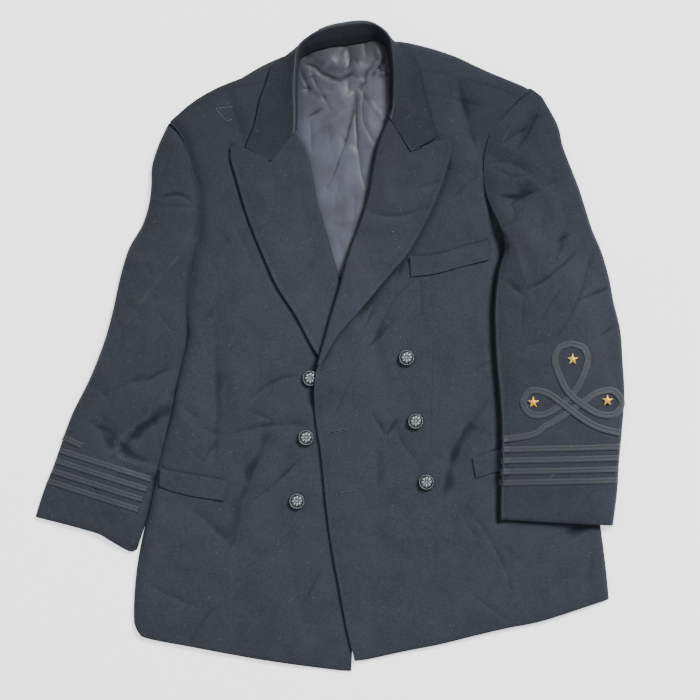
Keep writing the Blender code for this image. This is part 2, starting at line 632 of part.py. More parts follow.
def build_right_sleeve():
    """The right sleeve beside the body: its under half, then the top half that turns down over it."""
    armhole = [(row[0] - SEAM, row[1]) for row in RIGHT_FRONT[:9]]
    free = np.interp(range(len(SLEEVE_LOFT)), (7, 9), (0, 1))
    edges = zip(RIGHT_SLEEVE_OUTER, (*armhole, *RIGHT_SLEEVE_INNER), SLEEVE_LOFT, free)
    rows = [(*outer, loft[1], 1, *inner, loft[0], turn, loft[2]) for outer, inner, loft, turn in edges]
    sheet("right_sleeve_under", flat_panel(under_rows(rows)))
    floor = MAP.under(["right_sleeve_under"])
    top = panel(rows, floor, bottom=RIGHT_CUFF, folds=RIGHT_SLEEVE_FOLDS, hem_drop=HEM_DROP)
    sheet("right_sleeve_top", top)


def build_left_sleeve():
    """The left sleeve: the same two halves, bent over the body's side and lying on the body."""
    armhole = [(row[4] + SEAM, row[5]) for row in LEFT_FRONT[:6]]
    free = np.interp(range(len(SLEEVE_LOFT)), (6, 7), (0, 1))
    edges = zip(LEFT_SLEEVE_OUTER, (*armhole, *LEFT_SLEEVE_INNER), SLEEVE_LOFT, free)
    left_rows = [(*inner, loft[0], turn, *outer, loft[1], 1, loft[2]) for outer, inner, loft, turn in edges]
    armpit = LEFT_SLEEVE_INNER[0][1] - ROLL / 2
    body = spread(MAP.under(["left_front", "left_hip_pocket_welt"], below=armpit), MAP_STEP, np.max)
    inset = flat_panel(under_rows(left_rows), cell=CELL)
    lying = bridged(body, BRIDGE)[MAP.cells(inset[..., 0], inset[..., 1])]
    inset[..., 2] = np.where(lying > 0, np.maximum(lying + GAP + WALL, WALL), WALL)
    sheet("left_sleeve_under", lay(inset, body, WALL))
    floor = np.maximum(MAP.under(["left_sleeve_under"]), body)
    top = panel(left_rows, floor, bottom=LEFT_CUFF, folds=LEFT_SLEEVE_FOLDS, hem_drop=HEM_DROP)
    sheet("left_sleeve_top", top)


def braid(name, line, carrier, levels=0.0):
    """A flat braid along a line on a sleeve, from the sleeve's own points, moved out."""
    direction = np.gradient(line, axis=0)
    direction /= np.linalg.norm(direction, axis=1, keepdims=True)
    side = np.stack([-direction[:, 1], direction[:, 0]], -1) * BRAID_WIDTH / 2
    flat = np.stack([line + side, line - side])
    near = spread(MAP.under([carrier]), BRAID_WIDTH / 2, np.max)
    height = near[MAP.cells(flat[..., 0], flat[..., 1])] + GAP + BRAID_WALL + BRAID_RISE
    points = np.dstack([flat, height + levels * KNOT_LEVEL])
    face_up = normals_of(points)[..., 2].mean() > 0
    sheet(name, points if face_up else points[::-1], "braid", BRAID_WALL)


def build_welts():
    """Each welt lies on its front, from its upper edge to its lower one."""
    for name, (carrier, top, bottom) in WELTS.items():
        rows = [(*edge[0], 0, 0, *edge[-1], 0, 0, 0) for edge in (top, bottom)]
        points = panel(rows, MAP.under([carrier]), WELT_WALL, top=top, bottom=bottom)
        sheet(name, points, "wool", WELT_WALL)


def build_braid():
    """Four stripes on each cuff, the knot on the left sleeve and the end of its tail on the right."""
    for side, (start, end, step, carrier) in (("right", RIGHT_STRIPES), ("left", LEFT_STRIPES)):
        for index in range(STRIPES):
            shift = np.array(step) * index
            line = along([start + shift, end + shift], np.linspace(0, 1, STRIPE_POINTS))
            braid(f"{side}_cuff_stripe_{index + 1}", line, carrier)
    tail = along(RIGHT_TAIL, np.linspace(0, 1, TAIL_POINTS))
    braid("right_cuff_braid_tail", tail, "right_sleeve_top")
    half = smooth_rows(KNOT, KNOT_STEPS)
    right_half = np.column_stack([KNOT_CENTRE + half[:, 0], half[:, 1], half[:, 2]])
    left_half = np.column_stack([KNOT_CENTRE - half[:, 0], half[:, 1], half[:, 3]])
    path = np.vstack([left_half[:0:-1], right_half])
    braid("left_cuff_braid_knot", path[:, :2], "left_sleeve_top", path[:, 2].clip(0, 1))


def seat(x, y, radius, names):
    """The height on which a small round piece sits."""
    column, row = MAP.cells(np.array([x - radius, x + radius]), np.array([y - radius, y + radius]))
    return MAP.under(names)[column[0]:column[1] + 1, row[0]:row[1] + 1].max() + GAP


def build_button(name, x, y):
    """A domed metal button on a shank, turned about its own axis."""
    carrier = "right_front" if name.startswith("right") else "left_front"
    base = seat(x, y, SHANK_RADIUS, [carrier])
    brim = max(base + BUTTON_LIFT, seat(x, y, BUTTON_RADIUS, [carrier]))
    top = brim + BUTTON_THICKNESS
    profile = [(BUTTON_RADIUS * share, top - drop) for share, drop in BUTTON_FACE]
    profile += [(BUTTON_RADIUS * share, brim + rise) for share, rise in BUTTON_BRIM]
    profile += [(SHANK_RADIUS, brim), (SHANK_RADIUS, base), (0.0, base)]
    mesh = bpy.data.meshes.new(name)
    outline = bmesh.new()
    spots = [outline.verts.new((radius * MM, 0, height * MM)) for radius, height in profile]
    for first, second in zip(spots, spots[1:]):
        outline.edges.new((first, second))
    outline.to_mesh(mesh)
    outline.free()
    made = place(name, mesh, "button")
    made.location = (x * MM, y * MM, 0)
    screw = made.modifiers.new("turn", "SCREW")
    screw.steps = BUTTON_SIDES
    screw.render_steps = BUTTON_SIDES
    screw.use_merge_vertices = True
    screw.merge_threshold = 0.0001
    across = np.arange(-BUTTON_RADIUS, BUTTON_RADIUS, MAP_STEP / 2)
    east, north = np.meshgrid(across, across)
    disc = np.column_stack([x + east.ravel(), y + north.ravel(), np.full(east.size, top)])
    MAP.record(name, disc[np.hypot(east, north).ravel() <= BUTTON_RADIUS])


def build_star(name, x, y):
    """A star with a raised middle, from a low cone with every second point of its rim drawn in."""
    base = seat(x, y, STAR_RADIUS, ["left_sleeve_top"])
    half_step = math.pi / STAR_POINTS
    star = bmesh.new()
    bmesh.ops.create_cone(star, cap_ends=True, segments=2 * STAR_POINTS, radius1=STAR_RADIUS * MM, radius2=0,
                          depth=STAR_HEIGHT * MM)
    for vertex in star.verts:
        ring = math.floor(math.atan2(vertex.co.y, vertex.co.x) / half_step)
        if vertex.co.z < 0 and ring % 2 == 0:
            vertex.co.x *= STAR_INNER
            vertex.co.y *= STAR_INNER
    mesh = bpy.data.meshes.new(name)
    star.to_mesh(mesh)
    star.free()
    made = place(name, mesh, "gilt")
    made.location = (x * MM, y * MM, (base + STAR_HEIGHT / 2) * MM)
    made.rotation_euler = (0, 0, half_step)


def main():
    for old in list(bpy.data.objects):
        bpy.data.objects.remove(old)
    bpy.context.scene.collection.children.link(bpy.data.collections.new(NAME))
    build_backs()
    build_body()
    for name, x, y in BUTTONS[:3]:
        build_button(name, x, y)
    build_upper_front()
    for name, x, y in BUTTONS[3:]:
        build_button(name, x, y)
    build_collar()
    build_welts()
    build_right_sleeve()
    build_left_sleeve()
    build_braid()
    for index, (x, y) in enumerate(STARS):
        build_star(f"cuff_star_{index + 1}", x, y)


MAP = HeightMap()
main()
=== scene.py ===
import math

import bmesh
import bpy
import numpy as np
from bpy.props import FloatProperty, FloatVectorProperty, IntProperty, PointerProperty
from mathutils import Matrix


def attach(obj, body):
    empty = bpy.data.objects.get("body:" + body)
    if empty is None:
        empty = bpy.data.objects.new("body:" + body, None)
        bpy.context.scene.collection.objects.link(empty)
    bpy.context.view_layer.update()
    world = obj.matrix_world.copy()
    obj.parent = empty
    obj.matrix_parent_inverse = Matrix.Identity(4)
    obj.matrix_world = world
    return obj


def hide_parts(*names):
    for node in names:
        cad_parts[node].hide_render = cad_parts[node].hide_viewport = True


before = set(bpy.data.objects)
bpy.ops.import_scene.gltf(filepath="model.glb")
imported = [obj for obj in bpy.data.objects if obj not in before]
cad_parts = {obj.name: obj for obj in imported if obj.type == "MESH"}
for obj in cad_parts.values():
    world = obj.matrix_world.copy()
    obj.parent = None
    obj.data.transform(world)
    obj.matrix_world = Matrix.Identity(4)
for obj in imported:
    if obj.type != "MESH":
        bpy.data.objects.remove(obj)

bl_info = {
    "name": "Dress Jacket",
    "version": (1, 0, 0),
    "blender": (4, 5, 0),
    "location": "3D View > Sidebar > Jacket",
    "description": "Lays out a double-breasted dress jacket, panel by panel, with its braid and buttons",
    "category": "Object",
}

# The jacket lies on its back, front up. Tables are in millimetres: +X runs to the wearer's left, +Y up
# the jacket and +Z off the table. Sides are the wearer's.
MM = 0.001
# Clearance between layers, the gap of a seam, and how far a sewn edge runs on under its neighbour
GAP = 0.35
SEAM = 0.3
TUCK = 1.3
# Edges: the width over which they turn down, how far the hidden panels keep inside them, the height at
# which they rest, how far a hem drops, and how far a dip along an edge reaches
ROLL = 6.0
LAPEL_ROLL = 4.0
TURN_IN = 5.5
CUFF_INSET = 6.0
REST = 1.3
HEM_DROP = 1.0
DIP_REACH = 7.5
# An edge that stands up in a bead: where its crest is, and the trough inside it with its half width
BEAD_AT = 1.8
BEAD_TROUGH = (6.5, 2.2)
# Rounded rims: their width, their greatest share of the wall, and the angle from which an edge has one
RIM = 0.75
RIM_SHARE = 0.35
RIM_ANGLE = math.radians(58)
# The hollow in which a welt lies: its depth, how far it opens above the welt, how far inside the welt's
# foot it ends, the width of its sides, and the steps to a section of the welt's edges
WELT_HOLLOW = 1.1
WELT_MOUTH = 1.4
WELT_FOOT = 1.5
WELT_SIDE = 2.0
WELT_STEPS = 5
# Stiff cloth spans hollows narrower than this
BRIDGE = 12.0

# Steps to a section: of a panel, of a hidden one, of an edge's curve and of a line pressed into cloth
STEPS = 19
HIDDEN_STEPS = 2
CURVE_STEPS = 6
PRESS_STEPS = 3
# The height map that keeps the layers apart: its cell and half its size. Then how often a panel is lifted
# off it at most, the spacing of the places tried, in cells, and the lift at which the panel counts as laid
MAP_STEP = 1.5
MAP_HALF = (380.0, 420.0)
LAY_PASSES = 12
LAY_SPACING = 1.4
LAID = 0.05
# A panel's grid: the bend from which a point is kept at a corner of its edge, the widest share and the
# columns of an edge that turns down, how square its crown is, and how far down the curve of its top shows
CORNER = math.radians(5)
WIDEST_TURN = 0.3
TURN_COLUMNS = 8
CROWN_POWER = 2.5
TOP_BLEND = 0.2
LAPEL_BLEND = 0.4
# Points along one side of the lattice that gives unevenness
LATTICE = 64
# Form of a fold: the share left out at its ends, its sides' widths as shares of its half width, how blunt
# its crest is, the sharp line in the middle of a narrow one, and the strength of a narrow and a broad one
FOLD_ENDS = 0.12
GENTLE = 1.8
STEEP = 0.75
EVEN = 1.2
CREST = 0.6
NARROW_CREST = 0.12
BROAD_CREST = 0.28
CORE = 2.5
CORE_LIMIT = 7.5
CORE_SHARE = 0.5
THIN = 0.9
BROAD = 1.3
# Unevenness: how much, how far apart its humps are, and its seed. A fold wanders and varies along its
# run, and a panel ripples in two sizes
WANDER = ((1.3, 27, 71), (0.6, 11, 72))
VARY = (0.3, 21, 73)
RIPPLE = ((1.0, 46, 0), (0.45, 19, 50))
SHOULDER_RUMPLE = (0.5, 24, 9)
# Pale crests, from wear and as a painted highlight, and painted shade in the valleys: how often the heights
# are evened out to find fine and broad forms, the heights at which they count in full, the share of a fine
# valley, and the border without paling and its fade, in grid points
CREST_VALLEY_PASSES = 6
CREST_VALLEY_HEIGHT = 0.26
WIDE_PASSES = 75
WIDE_START = 0.7
WIDE_HEIGHT = 1.4
FINE_VALLEY = 0.42
CREST_BORDER = (8, 6)
# Wear along a roll line, which is also a painted highlight where the roll catches the light: how strong
# it is, and how far it reaches on the collar and on the lapels, where it ends part of the way down
ROLL_WEAR_AND_HIGHLIGHT = 1.7
COLLAR_WEAR_REACH = 1.3
LAPEL_WEAR_REACH = 3.0
LAPEL_WEAR_END = 0.55
# Painted shade of the lining under the collar, and how far it reaches
NECK_SHADE = 0.6
NECK_REACH = 48

# Sections of a panel, one row each from the top down: the two edges, how far the cloth stands off
# what it lies on at each edge and between them, and how much of its height each edge turns down
SECTION = (
    "left_x", "left_y", "left_loft", "left_turn",
    "right_x", "right_y", "right_loft", "right_turn", "crown",
)

RIGHT_FRONT = (
    (-192, 271, 6.5, 0, -51, 323, 6.5, 0, 2),
    (-178, 251, 6.5, 0, -49, 294, 4.5, 0, 3),
    (-170, 223, 6.5, 0, -47, 265, 3, 0, 4),
    (-162, 196, 6.5, 0, -36, 234, 2, 0, 4),
    (-159, 172, 6.5, 0, -27, 206, 1, 0, 4),
    (-160, 145, 6.5, 0, -19, 174, 0.6, 0, 4),
    (-163, 116, 6.5, 0, -9, 140, 0.4, 0, 4),
    (-170, 81, 5.5, 0, 4, 94, 0.3, 0, 4),
    (-174, 43, 5.5, 0.4, 17, 43, 0.3, 0, 4),
    (-174, 9, 5, 1, 31, -4, 0.3, 0, 4),
    (-185, -37, 5, 1, 48, -59, 0.2, 0, 4),
    (-195, -87, 5, 1, 50, -107, 0.2, 0, 4),
    (-209, -140, 5, 1, 45, -162, 0.2, 0, 4),
    (-218, -187, 5, 1, 40, -214, 0.2, 0, 3.5),
    (-229, -233, 5, 1, 35, -260, 0.2, 0, 3.5),
    (-236, -274, 5, 1, 32, -306, 0.2, 0, 3),
    (-239, -312, 4, 1, 28, -351, 0.2, 0, 2.5),
    (-239, -336, 3, 1, 26, -394, 0.2, 0, 2),
)
RIGHT_SHOULDER_SEAM = ((-192, 271), (-159, 294), (-120, 313), (-51, 323))
RIGHT_HEM = ((-239, -336), (-233, -348), (-222, -355), (-170, -365), (-83, -381), (2, -393), (26, -395))

LEFT_FRONT = (
    (86, 337, 6.5, 0, 231, 303, 6.5, 0, 2),
    (83, 304, 4.5, 0, 201, 270, 6.5, 0, 3),
    (78, 273, 3, 0, 191, 243, 6.5, 0, 4),
    (63, 244, 2, 0, 188, 218, 6.5, 0, 4),
    (56, 214, 1, 0, 190, 192, 6.5, 0, 4),
    (51, 182, 0.6, 0, 197, 170, 6.5, 0, 4),
    (40, 145, 0.4, 0, 211, 143, 6.5, 0, 4),
    (27, 109, 0.3, 0, 233, 116, 5, 0.6, 4),
    (13, 65, 0.3, 0, 264, 84, 5, 1, 4),
    (1, 23, 0.4, 0, 284, 45, 5, 1, 4),
    (-17, -32, 0.3, 0, 298, 2, 5, 1, 4),
    (-18, -79, 0.2, 0, 306, -46, 5, 1, 4),
    (-11, -127, 0.2, 0, 315, -95, 5, 1, 4),
    (-5, -187, 0.2, 0, 322, -144, 5, 1, 3.5),
    (1, -235, 0.2, 0, 329, -211, 5, 1, 3.5),
    (10, -285, 0.2, 0, 334, -249, 5, 1, 3),
    (20, -339, 0.2, 0, 338, -284, 4, 1, 2.5),
    (30, -382, 0.2, 0, 340, -307, 3, 1, 2),
)
LEFT_SHOULDER_SEAM = ((86, 337), (132, 332), (178, 321), (231, 303))
LEFT_HEM = (
    (30, -382), (48, -380), (89, -371), (134, -362), (178, -351), (217, -342), (260, -333), (340, -307),
)

# The backs: the fold of the cloth over each shoulder, and the neck between the two folds
CENTRE_BACK = 24.0
RIGHT_SHOULDER_FOLD = ((-195, 274), (-166, 299), (-132, 318), (-110, 326), (-83, 342), (-56, 354))
LEFT_SHOULDER_FOLD = (
    (74, 372), (90, 371), (109, 367), (131, 361), (154, 353), (173, 344), (195, 334), (217, 325),
    (234, 318), (244.5, 312.5),
)
RIGHT_NECK = ((-56, 354), (-37, 352), (-8, 361), (24, 365))
LEFT_NECK = ((24, 365), (44, 367), (60, 369), (74, 372))
# Sections of the backs where they leave the fronts' outline: at the shoulders and at the hem
RIGHT_BACK_ENDS = (
    (-195, 274, 0, 0, CENTRE_BACK, 365, 0, 0, 0),
    (-239, -326, 0, 1, CENTRE_BACK, -370, 0, 0, 0),
)
LEFT_BACK_ENDS = (
    (CENTRE_BACK, 365, 0, 0, 244.5, 312.5, 0, 0, 0),
    (CENTRE_BACK, -370, 0, 0, 340, -296, 0, 1, 0),
)
# Heights of the shoulders at the sleeve and at the neck, how far the seam's edge drops under the front,
# and how far inside the fold its lowest part lies, as a share of the wall
SHOULDER_HEIGHT = (10.0, 12.6)
SEAM_DROP = 0.8
FOLD_FOOT = 1.2
# From the shoulder's fold to its seam: how far along, and the share of its height
WRAP = (
    (0.0, 0.2), (0.0, 0.4), (0.005, 0.6), (0.04, 0.78), (0.12, 0.92), (0.24, 0.98), (0.4, 1.0),
    (0.6, 1.0), (0.8, 1.0), (1.0, 1.0),
)

# Edges of the sleeves from the top down: the outer edge, the inner edge below the armhole, and the cuff
RIGHT_SLEEVE_OUTER = (
    (-197, 272), (-209, 246), (-217, 220), (-218, 196), (-221, 173), (-229, 148), (-245, 120), (-256, 84),
    (-265, 43), (-276, 4), (-293, -39), (-314, -81), (-329, -122), (-337, -145), (-346, -167), (-353, -187),
    (-359, -207),
)
RIGHT_SLEEVE_INNER = (
    (-175.5, 2), (-189.5, -50), (-201.5, -105), (-215, -159), (-219.5, -183), (-225, -207), (-230, -228),
    (-235, -247),
)
RIGHT_CUFF = (
    (-359, -207), (-323, -216), (-301, -222), (-281, -228), (-266, -237), (-244, -249), (-235, -247),
)
LEFT_SLEEVE_OUTER = (
    (259, 303), (277, 271), (284, 244), (294, 218), (304, 192), (311, 170), (320, 142), (331, 116),
    (340, 85), (346, 54), (354, 20), (357, -20), (359, -60), (356, -101), (352, -145), (350, -177),
    (345, -217),
)
LEFT_SLEEVE_INNER = (
    (207.5, 142), (211, 118), (204, 94), (199, 57), (199, 21), (201, -18), (205, -60), (207, -101),
    (207, -145), (206, -177), (206, -209),
)
LEFT_SLEEVE_HEAD = ((229.7, 304.5), (236, 310.5), (243, 314.5), (251, 310), (259.5, 303.5))
LEFT_CUFF = ((206, -209), (275, -213), (345, -217))
# The height above which the body counts as lying under the left sleeve
BODY_STARTS = 0.5
# Loft of a sleeve at its seam or inner edge, outer edge and middle, from the shoulder to the cuff
SLEEVE_LOFT = (
    (3.4, 2.5, 0.6), (5, 3.5, 3), (6.5, 4.5, 4), (6.5, 4.5, 5.5), (6.5, 4.5, 6), (6.5, 4.5, 6),
    (6.5, 4.5, 6), (6, 4.5, 6), (5, 4.5, 5.5), (4, 4.5, 5.5), (3.5, 4, 5), (3, 3.5, 4.5), (3, 3, 4),
    (2.5, 3, 3.5), (2, 2, 3), (1.5, 1.5, 2), (1, 1, 1),
)

RIGHT_LAPEL = (
    (-120, 243, 0.3, 0, -42, 261, 4, 0.6, 1),
    (-120, 228, 0.3, 0, -33, 247, 4, 0.6, 1),
    (-113, 203, 0.3, 0, -25, 227, 4, 0.6, 1),
    (-104, 172, 0.3, 0, -20, 205, 4, 0.6, 1),
    (-93, 140, 0.3, 0, -15, 176, 3.5, 0.6, 1),
    (-79, 107, 0.3, 0, -5, 142, 3, 0.6, 1),
    (-63, 72, 0.3, 0, 6, 103, 1.5, 0.6, 1),
    (-41, 38, 0.3, 0, 18, 57, 0.5, 0.3, 0.5),
    (-17, -6, 0.3, 0, 32, 9, 0.3, 0.1, 0.3),
    (16, -50, 0.3, 0, 44, -44, 0.3, 0, 0.3),
)
RIGHT_GORGE = ((-120, 243), (-102, 241), (-71, 225.5), (-58, 244.5), (-41.5, 265))
LEFT_LAPEL = (
    (72.5, 276.5, 4, 0.6, 146, 253, 0.3, 0, 1),
    (66, 266, 4, 0.6, 148, 242, 0.3, 0, 1),
    (56, 242, 4, 0.6, 142, 217, 1, 0, 1),
    (50, 215, 4, 0.6, 131, 185, 1.8, 0, 1),
    (45, 184, 4, 0.6, 115, 150, 1.8, 0, 1),
    (35, 151, 4, 0.6, 94, 113, 1.8, 0, 1),
    (22, 115, 3, 0.5, 67, 81, 1.8, 0, 1),
    (11, 74, 2, 0.3, 37, 45, 1.8, 0, 1),
    (-2, 30, 1, 0.3, 9, 13, 1, 0, 0.5),
    (-15, -21, 0.5, 0, -12.5, -23, 0.3, 0, 0),
)
LEFT_GORGE = ((72, 281), (85.5, 258.5), (98, 236.8), (128, 249), (146, 253))

# The collar from the right gorge round the neck to the left gorge: the edge of its fall, its roll
# line, the neck seam of its stand, and the height of the roll as a share of the full height
COLLAR = (
    (-102, 242, -43, 260, -40, 262, 0.66),
    (-91.5, 269, -42, 285, -39, 287, 0.78),
    (-85, 298, -43, 311, -39.5, 311, 0.88),
    (-77, 321, -42, 336, -38.5, 333, 0.94),
    (-68, 343, -39, 360, -35, 350, 1.0),
    (-44, 357, -26, 376, -20, 359, 1.0),
    (-10, 377, -7, 386, -5, 364, 0.97),
    (11, 384, 12, 391, 16, 367, 0.95),
    (38, 387, 39, 394, 38, 371, 0.95),
    (58, 382, 57, 389, 54, 373, 0.97),
    (86, 367, 71, 375, 66, 366, 1.0),
    (101, 355, 75, 355, 71, 350, 1.0),
    (107, 336, 77, 333, 73.5, 332, 0.94),
    (113, 311, 77, 311, 73.5, 311, 0.88),
    (121, 282, 76, 292, 73, 293, 0.78),
    (129, 254, 73, 277, 71, 280, 0.66),
)
COLLAR_STEPS = 10
COLLAR_ROLL_HEIGHT = 27.0
# The nape: the fall's width under which it counts, how softly it ends, the height of the edge there, and
# the bulge above it with its share of the fall
COLLAR_NAPE = 12.0
NAPE_EASE = 6.0
NAPE_HEIGHT = 4.0
NAPE_BULGE = 3.0
BULGE_SHARE = 0.4
# How steeply the stand falls from the roll, the columns each side of the roll that are evened out, and
# the rumples of the whole collar, of its roll and of its stand, with the columns in which they show
STAND_FALL = 0.8
ROLL_COLUMNS = 5
COLLAR_RUMPLE = (0.3, 21, 31)
ROLL_RUMPLE = (0.35, 31 / 6, 33)
STAND_RUMPLE = (1.2, 47 / 5, 34)
RUMPLE_COLUMNS = 3
# The notches, where the collar's ends meet the lapels, their place across the fall, the columns of the
# fall outside and inside them, how far over the lapel the collar's end takes its height, its clearance,
# and the columns over which it is evened out
RIGHT_NOTCH = (-70.5, 224.8)
LEFT_NOTCH = (98, 236.4)
NOTCH_SHARE = 0.62
FALL_COLUMNS = (10, 16)
STAND_COLUMNS = 8
LAPEL_REACH = (1.4, 3.76)
LAPEL_CLEARANCE = 0.25
END_COLUMNS = 4

LINING = (
    (-36, 349, 0.2, 0, 70, 366, 0.2, 0, 1),
    (-41, 311, 0.2, 0, 74, 311, 0.2, 0, 3),
    (-41, 265, 0.2, 0, 73, 265, 0.2, 0, 3),
    (-33, 228, 0.2, 0, 62, 228, 0.2, 0, 3),
    (-26, 190, 0.2, 0, 55, 190, 0.2, 0, 2),
    (-15, 149, 0.2, 0, 44, 149, 0.2, 0, 1),
    (-2, 106, 0.2, 0, 29, 106, 0.2, 0, 0.5),
    (8, 64, 0.2, 0, 21, 64, 0.2, 0, 0),
)
LINING_TOP = ((-40, 351), (-34, 360.5), (-26, 366), (-8, 372), (18, 376), (40, 380), (58, 380), (74, 370))

# Pocket welts: the panel that carries each, and its upper and lower long edges
BREAST_WELT = ("left_front", ((97, 110), (129, 112), (167, 123), (192, 129)),
               ((98, 85), (129, 89), (155, 96), (194, 106)))
RIGHT_HIP_WELT = ("right_front", ((-206, -145), (-195, -150), (-165, -155), (-122, -163)),
                  ((-207.5, -168), (-195, -174), (-165, -181.5), (-129, -187)))
LEFT_HIP_WELT = ("left_front", ((173, -135), (207, -124), (250, -115), (296, -109)),
                 ((177, -159), (206, -151), (250, -142), (299, -136)))
WELTS = {
    "breast_pocket_welt": BREAST_WELT,
    "right_hip_pocket_welt": RIGHT_HIP_WELT,
    "left_hip_pocket_welt": LEFT_HIP_WELT,
}

# Buttons: the middle of each. Then their thickness, how far they stand off the cloth, and the radius of
# the shank with the share of it at the foot
RIGHT_BUTTONS = (("right_button_1", -24, -38), ("right_button_2", -29, -110), ("right_button_3", -40, -187))
LEFT_BUTTONS = (("left_button_1", 93, -13), ("left_button_2", 104, -90), ("left_button_3", 117, -164))
BUTTON_THICKNESS = 4.2
BUTTON_LIFT = 0.8
SHANK_RADIUS = 3.0
SHANK_FOOT = 0.6
# The button's section from its middle out: share of the radius, and its height under the top
BUTTON_SECTION = (
    (0.0, 0.5), (0.12, 0.45), (0.2, 0.7), (0.45, 0.8), (0.72, 1.0), (0.78, 1.25), (0.83, 0.9), (0.9, 0.75),
    (0.96, 0.95), (1.0, 1.7), (0.99, 2.6), (0.9, 3.4), (0.6, 3.9), (0.3, 4.2),
)
# How far under the top the front's relief goes, and how bright the plain back is
BUTTON_FRONT = 1.8
BUTTON_BACK_SHINE = 0.3
# Its grid: steps to a section, columns round it, and how far it keeps above the button's underside
BUTTON_STEPS = 4
BUTTON_TURNS = 144
BUTTON_EASE = 0.05
# The relief: where it is and how wide, as shares of the radius, its rise, and how bright it is rubbed
PETAL = (0.45, 0.2, 0.85, 0.75)
ROPE = (0.89, 0.06, 0.4, 0.8)
BOSS = (0.0, 0.16, 0.2, 0.7)
PETALS = 8
PETAL_ROUNDNESS = 0.7
ROPE_TURNS = 36
ROPE_SLANT = 14

# Buttonholes: the eye end, the other end. Then the eye: its radius, the purl stitches round it and the
# shares of a turn between which they stand
BUTTONHOLES = ((-10, -31, 9, -27), (1, -104, 21, -100.5), (10, -179, 30, -175))
EYE_RADIUS = 1.4
EYE_PURLS = 13
EYE_ARC = (0.22, 0.78)
# Purl stitches along the slit: the place of the first and the step, how far each reaches from the slit
# and out, its height at its ends and in its middle, and its thickness
PURL_START = 1.9
PURL_STEP = 0.62
PURL_REACH = (0.35, 1.75)
PURL_RISE = (0.1, 0.45)
PURL_RADIUS = 0.27
# The bars that close the other end: their places across the slit, half their length and their thickness
BARS = (-0.9, 0.0, 0.9)
BAR_HALF = 0.6
BAR_RADIUS = 0.3
# Painted shade in the slit, a near-black thread: its points, depth and thickness. Painted shade in the
# eye, a dark disc: radius, flatness and height
SLIT_POINTS = 14
SLIT_DEPTH = 0.02
SLIT_RADIUS = 0.34
EYE_SHADE_DISC = (1.15, 0.3, 0.35)

# Cuff stripes: the two ends of the top stripe, the step to the next, and the sleeve that carries them
RIGHT_STRIPES = ((-327, -126), (-217, -161), (-5.2, -12.3), "right_sleeve_top")
LEFT_STRIPES = ((207.5, -124), (352, -121), (-0.6, -13.5), "left_sleeve_top")
STRIPES = 4
RIGHT_TAIL = ((-325, -110), (-301, -120))
# A braid stands off the sleeve by its rise, and its two cords are round on top by this much. Then the
# columns across a braid, and the rows along a stripe and along the right cuff's tail
BRAID_RISE = 0.4
CORD = 0.28
BRAID_COLUMNS = 13
STRIPE_ROWS = 90
TAIL_ROWS = 20

# Half of the trefoil braid knot, from the top of its upper loop to its tail: x off the centre line,
# y, and the level of the two halves where they cross
KNOT_CENTRE = 291.5
KNOT = (
    (0, 4, 0, 0), (14, -1, 0, 0), (20, -14, 0, 0), (15, -33, 0, 0), (4, -54, 0, 1), (-13, -70, 0, 1),
    (-31, -81, 0, 0), (-49, -81, 0, 0), (-58, -67, 0, 0), (-49, -53, 0, 0), (-29, -56, 0, 0),
    (-10, -69, 1, 0), (10, -84, 1, 0), (28, -95, 0, 0), (46, -101, 0, 0), (60, -104, 0, 0),
)
# How much higher the knot lies where it crosses over itself
KNOT_LEVEL = 0.7
# The knot's other loop is a little wider, between these two levels, and its tail runs on to the edge of
# the sleeve
WIDER_LOOP = 1.1
WIDER_BETWEEN = (-70, -40)
LONG_TAIL = ((250, -103.5), (238, -107.4), (223, -109.8), (208, -111.3))
KNOT_WIDTH = 8.4
KNOT_STEPS = 14
LONG_TAIL_STEPS = 8
# Stars: their middles, height, the height of their sides, points, the inner radius as a share of the
# outer one, and the width of their rounded rim
STARS = ((293, -15), (245.5, -67), (335.5, -64.5))
STAR_HEIGHT = 2.4
STAR_BASE = 0.7
STAR_POINTS = 5
STAR_INNER = 0.42
STAR_RIM = 0.22

